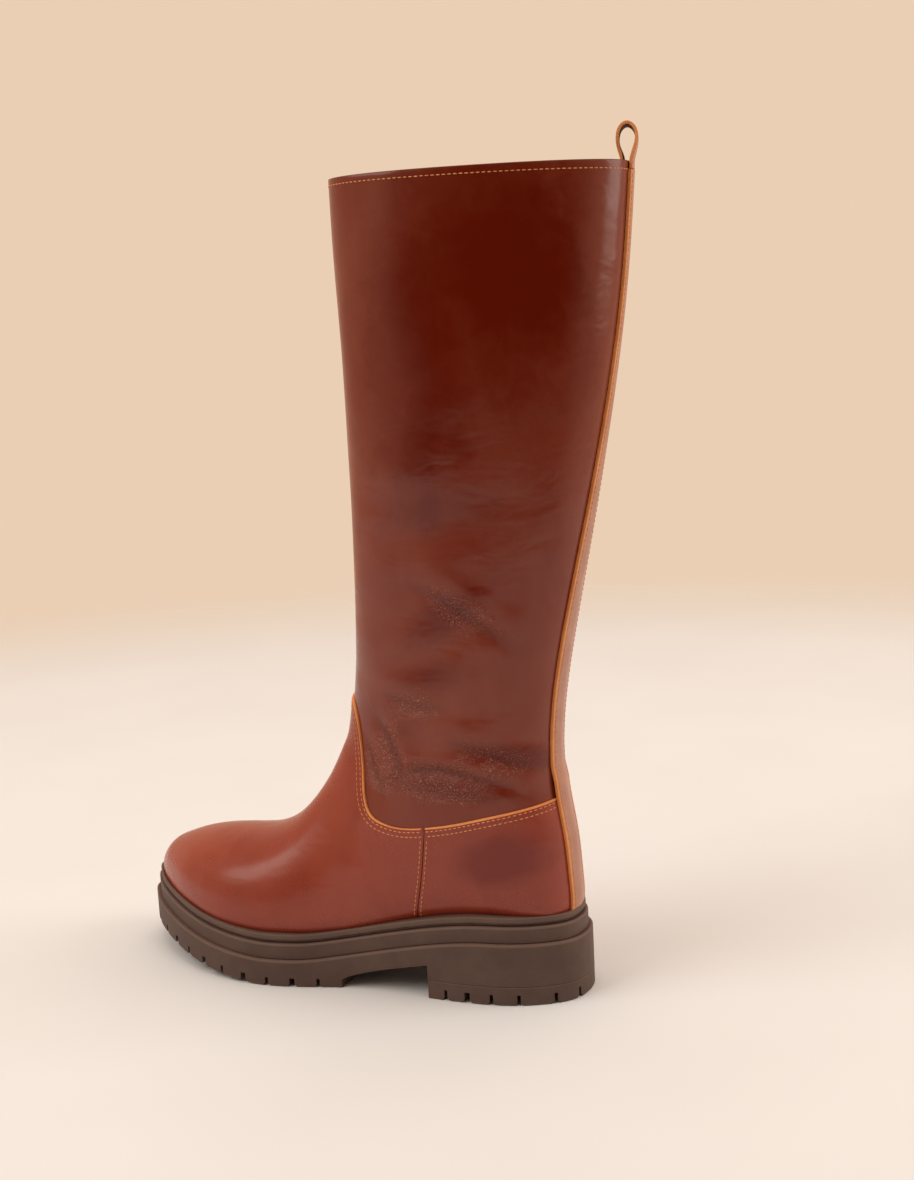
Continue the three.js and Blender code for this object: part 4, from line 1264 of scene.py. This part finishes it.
def slot_tool(length, width, depth):
    """A slot in from the edge, flared at its mouth, at a length along the outline"""
    x, y = (np.interp(length, edge_lengths, np.append(OUTLINE[:, n], OUTLINE[0, n])) for n in (0, 1))
    n = np.searchsorted(edge_lengths, length) % len(OUTLINE)
    along = edge_along[n]
    rise = float(floor_at(x))
    half = width / 2
    wide = half + SLOT_FLARE
    right = [(wide, -BELOW), (wide, rise), (half, rise + SLOT_FLARE), (half, rise + depth)]
    outline = right + [(-x, z) for x, z in right[::-1]]
    tool = prism(outline, SLOT_REACH + BELOW)
    inward = (along[1], -along[0])
    turn = Matrix(((along[0], inward[0], 0), (along[1], inward[1], 0), (0, 0, 1))).to_4x4()
    return stand(tool, Matrix.Translation((x, y, 0)) @ turn @ Matrix.Translation((0, -BELOW, 0)))


def slot_tools(start, end):
    """Narrow and wide slots in turn, from one length along the outline to another"""
    lengths = np.linspace(start, end, round((end - start) / LUG_PITCH) + 1)
    return [slot_tool(length, SLOT_WIDTHS[n % 2], LUG_DEPTH) for n, length in enumerate(lengths)]


def middle_rows(low_x, high_x, distance):
    """Places along the sole's middle and both its edges there, a distance in from the outline"""
    x = np.linspace(max(low_x, HEEL_X + distance), min(high_x, TOE_X - distance), 40)
    outer = np.interp(x, *OUTER_EDGE.T) - distance
    inner = np.interp(x, *INNER_EDGE.T) + distance
    wide = outer - inner > distance / 3
    return x[wide], outer[wide], inner[wide]


def band_tool(points, top):
    """A tool on an outline seen from above, from under the tread to top(x)"""
    piece = flat_face([(x, y, -BELOW) for x, y in points])
    shape_all(piece, drawn_out(0, 0, 1))
    for corner in piece.data.vertices:
        if corner.co.z > 0.5 - BELOW:
            corner.co.z = top(corner.co.x)
    return stand(piece, Matrix.Identity(4))


def ring_tools(low_x, high_x, top):
    """The groove that rings the middle lugs, as a strip on each side"""
    tools = []
    outside = middle_rows(low_x, high_x, SLOT_REACH)
    inside = middle_rows(low_x, high_x, SLOT_REACH + RING_WIDTH)
    for n in (1, 2):
        far = list(zip(outside[0], outside[n]))
        near = list(zip(inside[0], inside[n]))
        tools.append(band_tool(far + near[::-1], top))
    return tools


def bar_tool(x, top):
    """Groove across the middle of the tread, between the slots of its edges"""
    _, outer, inner = middle_rows(x - 1, x + 1, SLOT_REACH + 1)
    low = inner.mean() / math.cos(BAR_TILT)
    high = outer.mean() / math.cos(BAR_TILT)
    section = [(-BAR_HALF, -BELOW), (BAR_HALF, -BELOW), (BAR_HALF, top), (-BAR_HALF, top)]
    tool = prism(section, high - low)
    turn = Matrix.Translation((x, 0, 0)) @ Matrix.Rotation(BAR_TILT, 4, "Z")
    return stand(tool, turn @ Matrix.Translation((0, low, 0)))


def finish_rubber(piece, node):
    worn_edges(piece, 0.3, 1)
    paint(piece, [RUBBER])
    smooth_shading(piece, 35)
    return finished(piece, "rubber", node)


def across_sole(outline):
    """A tool on an outline in the side view, right across the sole"""
    return stand(prism(outline, 2 * BALL_WIDTH), Matrix.Translation((0, -BALL_WIDTH, 0)))


def make_outsole():
    piece = slab("outsole_tread", rounded(0, floor_at, 0, outsole_top_at, SOLE_ROUND, SOLE_ROUND))
    arch_x = np.linspace(HEEL_BREAST_X, TREAD_X, 16)
    waist = [(x, float(waist_at(x))) for x in arch_x[::-1]]
    behind = HEEL_X - BEYOND
    gap = [(behind, -BEYOND), (TREAD_X, -BEYOND), *waist, (HEEL_BREAST_X, HEEL_TREAD_HEIGHT)]
    under = across_sole([*gap, (behind, HEEL_TREAD_HEIGHT)])
    first_x = TREAD_X + TREAD_MARGIN
    tools = [under, *slot_tools(edge_length_at(first_x, True), edge_length_at(first_x, False))]
    tools += ring_tools(first_x, TOE_X, lambda x: floor_at(x) + LUG_DEPTH)
    bars = [share * SOLE_LENGTH for share in BAR_PLACES]
    tools += [bar_tool(x, float(floor_at(x)) + LUG_DEPTH) for x in bars]
    cut(piece, tools)
    return finish_rubber(piece, "outsole")


def make_heel_tread():
    top = HEEL_TREAD_HEIGHT - CLEARANCE
    piece = slab("heel_block_tread", rounded(0, level_at(0), 0, level_at(top), SOLE_ROUND, 0.15))
    front_x = (HEEL_BREAST_X, TOE_X + BEYOND)
    low, high = -BEYOND, 2 * BEYOND
    tools = [across_sole([(front_x[0], low), (front_x[1], low), (front_x[1], high), (front_x[0], high)])]
    for outer in (True, False):
        for place, width in HEEL_SLOTS:
            length = edge_length_at(HEEL_BREAST_X - place * HEEL_LENGTH, outer)
            tools.append(slot_tool(length, SLOT_WIDTHS[width], HEEL_LUG_DEPTH))
    tools += ring_tools(HEEL_X, HEEL_BREAST_X - SLOT_REACH / 2, level_at(HEEL_LUG_DEPTH))
    tools.append(bar_tool(HEEL_X + HEEL_LENGTH / 2, HEEL_LUG_DEPTH))
    cut(piece, tools)
    return finish_rubber(piece, "heel_tread")


def make_midsole():
    low = lower(outsole_top_at, -CLEARANCE)
    rows = rounded(MIDSOLE_INSET, low, MIDSOLE_INSET, midsole_top_at, 0.25, SOLE_ROUND)
    return finish_rubber(slab("midsole_wall", rows), "midsole")


PROBE_DEPTH = 1.5
USUAL_INSET = 7.0
INSET_RANGE = (4.9, 13)
EVEN_OVER = 3  # points of the outline to each side


def surface_trees(*pieces):
    graph = bpy.context.evaluated_depsgraph_get()
    return [BVHTree.FromObject(piece, graph) for piece in pieces]


def foot_insets():
    """How far in from the sole's edge the leather stands, at each point of the edge, evened out along it"""
    reaches = []
    trees = surface_trees(vamp, counter)
    for point, inward in zip(OUTLINE, EDGE_INWARD):
        start = Vector(in_metres([*point, float(bed_at(point[0])) - PROBE_DEPTH]))
        hits = [tree.ray_cast(start, Vector((*inward, 0)))[3] for tree in trees]
        hits = [hit * 1000 for hit in hits if hit is not None]
        reaches.append(min(hits) if hits else USUAL_INSET)
    ring = np.pad(reaches, EVEN_OVER, mode="wrap")
    count = 2 * EVEN_OVER + 1
    return np.clip(np.convolve(ring, np.ones(count) / count, "valid"), *INSET_RANGE)


def make_welt():
    """Bead round the foot: up its outer side from the midsole, over its top and down against the leather"""
    inner = foot_insets()
    low = lower(midsole_top_at, -CLEARANCE)
    rows = [
        (inner + 0.3, low, 0, 0),
        (4.8, low, 0, 0),
        (4.8, lower(low, -0.8), 0, 0),
        (4.3, lower(low, -1.25), 0, 0),
        (3.75, lower(low, -1.8), 0, 0.2),
        (3.6, lower(low, -2.3), 0, 0.5),
        (3.6, lower(bed_at, 0.9), 0, 0.5),
        (3.72, lower(bed_at, 0.45), 0, 0.7),
        (4.05, lower(bed_at, 0.12), 0, 1.0),
        (4.5, bed_at, 0, 0.6),
        (np.maximum(inner - 0.45, 4.6), bed_at, 0, 0),
        (np.maximum(inner - 0.1, 4.7), lower(bed_at, 0.5), 0, 0),
        (inner + 0.3, lower(bed_at, 1.6), 0, 0),
        (inner + 0.3, low, 0, 0),
    ]
    return finish_rubber(slab("welt_bead", rows), "welt")


make_outsole()
make_heel_tread()
make_midsole()
make_welt()

# Insole and gusset stay as they are in the model
paint(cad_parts["insole"], [LINING])
paint(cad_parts["gusset"], [SHAFT_LEATHER])

# Stitches
STITCH_PITCH = 2.9
STITCH_SIZE = (0.5, 0.62, 2.15)  # height, width and length
STITCH_LIFT = 0.08
LOOK_AHEAD = 0.6


def stitch_shape():
    """One raised stitch with its length along X, in millimetres"""
    bpy.ops.mesh.primitive_uv_sphere_add(segments=6, ring_count=4, radius=0.5)
    shape = bpy.context.object
    shape.data.transform(Matrix.Rotation(math.pi / 2, 4, "Y") @ Matrix.Diagonal((*STITCH_SIZE, 1)))
    return shape


def stitch_places(path, trees):
    """Places and turns of stitches at even distances along a path, laid on the nearest leather"""
    length = lengths_of(path)
    count = max(2, int(round(length[-1] / STITCH_PITCH)))
    places = []
    for middle in (np.arange(count) + 0.5) * length[-1] / count:
        here, ahead = (
            Vector(in_metres([np.interp(middle + step, length, column) for column in path.T]))
            for step in (0, LOOK_AHEAD)
        )
        hits = [tree.find_nearest(here) for tree in trees]
        point, normal, _, _ = min((hit for hit in hits if hit[0] is not None), key=lambda hit: hit[3])
        along = ahead - here
        along = (along - normal * along.dot(normal)).normalized()
        turn = Matrix((along, normal.cross(along), normal)).transposed().to_4x4()
        over = point + normal * STITCH_LIFT / 1000
        places.append(Matrix.Translation(over) @ turn @ Matrix.Scale(0.001, 4))
    return places


def beside(path, normals, distance):
    """A path moved sideways on the surface"""
    along = np.gradient(path, axis=0)
    along /= np.linalg.norm(along, axis=1, keepdims=True)
    return path + np.cross(normals, along) * distance


# Stitch rows, by their distances from the edges that they follow
COLLAR_ROW = 3.2
TOP_SEAM_ROWS = (2.0, 4.7)
SIDE_SEAM_ROWS = (-1.9, 1.9)
SIDE_SEAM_END = 6.4
STRIP_STITCH_ROWS = (-6.7, 6.7)
SLIT_ROW_FRONT = 10.1
SLIT_ROW_BACK = 3.9
SLIT_ROW_FOOT = 3.5
SLIT_ROW_TOP = 5.5
SIDE_SEAM_START = 1.2
STRIP_ENDS = 1.5
STRIP_CLEAR = STRIP_WIDTH / 2 + 0.8
SEAM_CLEAR = STRIP_CLEAR + 0.4
NEAR_COLLAR = 590.0  # place along the last by which the collar's row is measured


def collar_row():
    """Round the collar, from one side of the strip to the other"""
    start = BACK_COLUMN + STRIP_CLEAR / COLLAR_STEP
    columns = np.linspace(start, start + LAST_COLUMNS - 2 * STRIP_CLEAR / COLLAR_STEP, 500)
    step = row_step(np.full(1, NEAR_COLLAR), np.zeros(1))[0]
    return [on_last(np.full(500, LAST_ROWS - COLLAR_ROW / step), columns)[0]]


def top_seam_rows():
    """Along the upper edge of the foot panels, each side by itself, clear of the strip"""
    columns = np.linspace(0, LAST_COLUMNS, 900)
    seam = at_column(SEAM_ROWS, columns)
    edge, normal = on_last(seam, columns)
    from_back = np.linalg.norm(edge - on_last(seam, np.full(900, BACK_COLUMN))[0], axis=1)
    rows = []
    for away in TOP_SEAM_ROWS:
        path = beside(edge, normal, -away)
        for side in (slice(0, 450), slice(450, 900)):
            rows.append(path[side][from_back[side] > SEAM_CLEAR])
    return rows


def side_seam_rows():
    """Beside the line between vamp and counter, on each side of the boot"""
    half = LAST_COLUMNS // 2
    rows = []
    for columns in (ALL_COLUMNS[: half + 1], ALL_COLUMNS[half:]):
        chosen = columns[SIDE_ROWS[columns] < SEAM_ROWS[columns]].astype(float)
        path, normal = on_last(at_column(SIDE_ROWS, chosen), chosen)
        over = path[:, 2] > bed_at(path[:, 0]) + SIDE_SEAM_START
        for away in SIDE_SEAM_ROWS:
            moved = beside(path[over], normal[over], away)
            rows.append(moved[moved[:, 2] < seam_height(moved[:, 0]) - SIDE_SEAM_END])
    return rows


def strip_rows():
    """Up both edges of the back strip"""
    rows = []
    for across in STRIP_STITCH_ROWS:
        along = np.linspace(strip_start(across) + STRIP_ENDS, strip_top_row - STRIP_ENDS, 500)
        rows.append(strip_point(np.full(500, across), along, np.full(500, STRIP_THICKNESS)))
    return rows


def slit_rows():
    """Down in front of the slit, across under its foot and up behind it"""
    low_row = rows_of_height(SLIT_FOOT_Z - SLIT_ROW_FOOT, SLIT_COLUMN)[0]
    front = SLIT_COLUMN + SLIT_ROW_FRONT / SLIT_STEP
    back = SLIT_COLUMN - SLIT_ROW_BACK / SLIT_STEP
    down = np.linspace(LAST_ROWS - SLIT_ROW_TOP, low_row, 80)
    return [
        on_last(down, np.full(80, front))[0],
        on_last(np.full(20, low_row), np.linspace(front, back, 20))[0],
        on_last(down[::-1], np.full(80, back))[0],
    ]


def make_stitches():
    """One stitch is modelled, and the rest are copies of it"""
    shape = stitch_shape()
    shaft_tree = surface_trees(shaft)
    foot_trees = surface_trees(vamp, counter)
    rows = [(path, shaft_tree) for path in collar_row()]
    rows += [(path, foot_trees) for path in top_seam_rows() + side_seam_rows()]
    rows += [(path, surface_trees(strip)) for path in strip_rows()]
    rows += [(path, shaft_tree) for path in slit_rows()]
    made = []
    for path, trees in rows:
        for place in stitch_places(path, trees):
            stitch = bpy.data.objects.new("stitches", shape.data.copy())
            stitch.data.transform(place)
            scene.collection.objects.link(stitch)
            made.append(stitch)
    bpy.data.objects.remove(shape)
    stitches = joined(made)
    paint(stitches, [THREAD])
    smooth_shading(stitches, 80)
    return finished(stitches, "strip_leather")


make_stitches()

# Floor: pale near the boot, fading out into the room's plain wall
WALL = (0.825, 0.624, 0.456)
FLOOR_SHADES = ((0.755, 0.85, 0.90), (0.77, 0.87, 0.92))
FADE_FROM = 0.85
FADE_TO = 1.5


def make_floor():
    bpy.ops.mesh.primitive_circle_add(vertices=128, radius=4, fill_type="NGON")
    floor = bpy.context.object
    floor.name = "floor"
    finish = Finish("floor_paint")
    pale = finish.mix(finish.range(finish.noise(6, 2), 0.3, 0.7), *FLOOR_SHADES)
    far = finish.range(finish.vector("LENGTH", 1, _0=finish.place), FADE_FROM, FADE_TO)
    finish.set(Base_Color=pale, Alpha=1 - far, Roughness=1.0, Specular_IOR_Level=0.0)
    paint(floor, [finish.material])


make_floor()

# Camera
FOCAL_PIXELS = 1602.0
PHOTO_HEIGHT = 1180.0
SENSOR = 36.0
CAMERA_PLACE = (-0.4200, 0.7997, 0.3755)
FORWARD = (0.4072, -0.8979, -0.1673)
LEVEL_RIGHT = (-0.9108, -0.4130, 0)
ROLL = math.radians(-2.95)


def make_camera():
    data = bpy.data.cameras.new("camera")
    data.sensor_fit = "VERTICAL"
    data.sensor_height = SENSOR
    data.lens = FOCAL_PIXELS / PHOTO_HEIGHT * SENSOR
    camera = bpy.data.objects.new("camera", data)
    scene.collection.objects.link(camera)
    forward = Vector(FORWARD).normalized()
    level_right = Vector(LEVEL_RIGHT).normalized()
    right = level_right * math.cos(ROLL) + level_right.cross(forward) * math.sin(ROLL)
    turn = Matrix((right, right.cross(forward), -forward)).transposed().to_4x4()
    camera.matrix_world = Matrix.Translation(CAMERA_PLACE) @ turn
    return camera


scene.camera = make_camera()
scene.view_settings.view_transform = "Standard"

# Light
WARM = (1.0, 0.95, 0.89)
CAMERA_SIDE = (-0.413, 0.911, 0)
ROOM_TINT = (0.95, 0.60, 0.42)
ROOM_STRENGTH = 0.85
DARK_SIDE = 0.03  # strength of the room's light behind the camera


def soft_light(name, place, target, size, watts):
    data = bpy.data.lights.new(name, "AREA")
    data.shape = "RECTANGLE"
    data.size, data.size_y = size
    data.energy = watts
    data.color = WARM
    lamp = bpy.data.objects.new(name, data)
    scene.collection.objects.link(lamp)
    lamp.location = place
    lamp.rotation_euler = (Vector(target) - Vector(place)).to_track_quat("-Z", "Y").to_euler()


def make_room():
    """The plain wall where it is seen, and a warm light from it that fades out behind the camera"""
    scene.world = bpy.data.worlds.new("room")
    scene.world.use_nodes = True
    room = Nodes(scene.world.node_tree)
    background = room.tree.nodes["Background"]
    seen = room.node("LightPath", None, "Is Camera Ray")
    toward = room.vector("DOT_PRODUCT", 1, _0=room.node("TexCoord", None, "Generated"), _1=CAMERA_SIDE)
    strength = room.range(toward, 0.5, 0.9, ROOM_STRENGTH, ROOM_STRENGTH * DARK_SIDE)
    put(room.tree, background.inputs["Strength"], seen + (1 - seen) * strength)
    put(room.tree, background.inputs["Color"], room.mix(seen, ROOM_TINT, WALL))


soft_light("key", (1.25, 1.35, 1.75), (0, 0, 0.2), (1.5, 1.5), 20)
soft_light("heel_side", (-1.7, -0.6, 1.0), (0, 0, 0.25), (1.0, 1.6), 13)
soft_light("top", (0.1, -0.2, 2.3), (0, 0, 0), (2.0, 2.0), 14.5)
make_room()
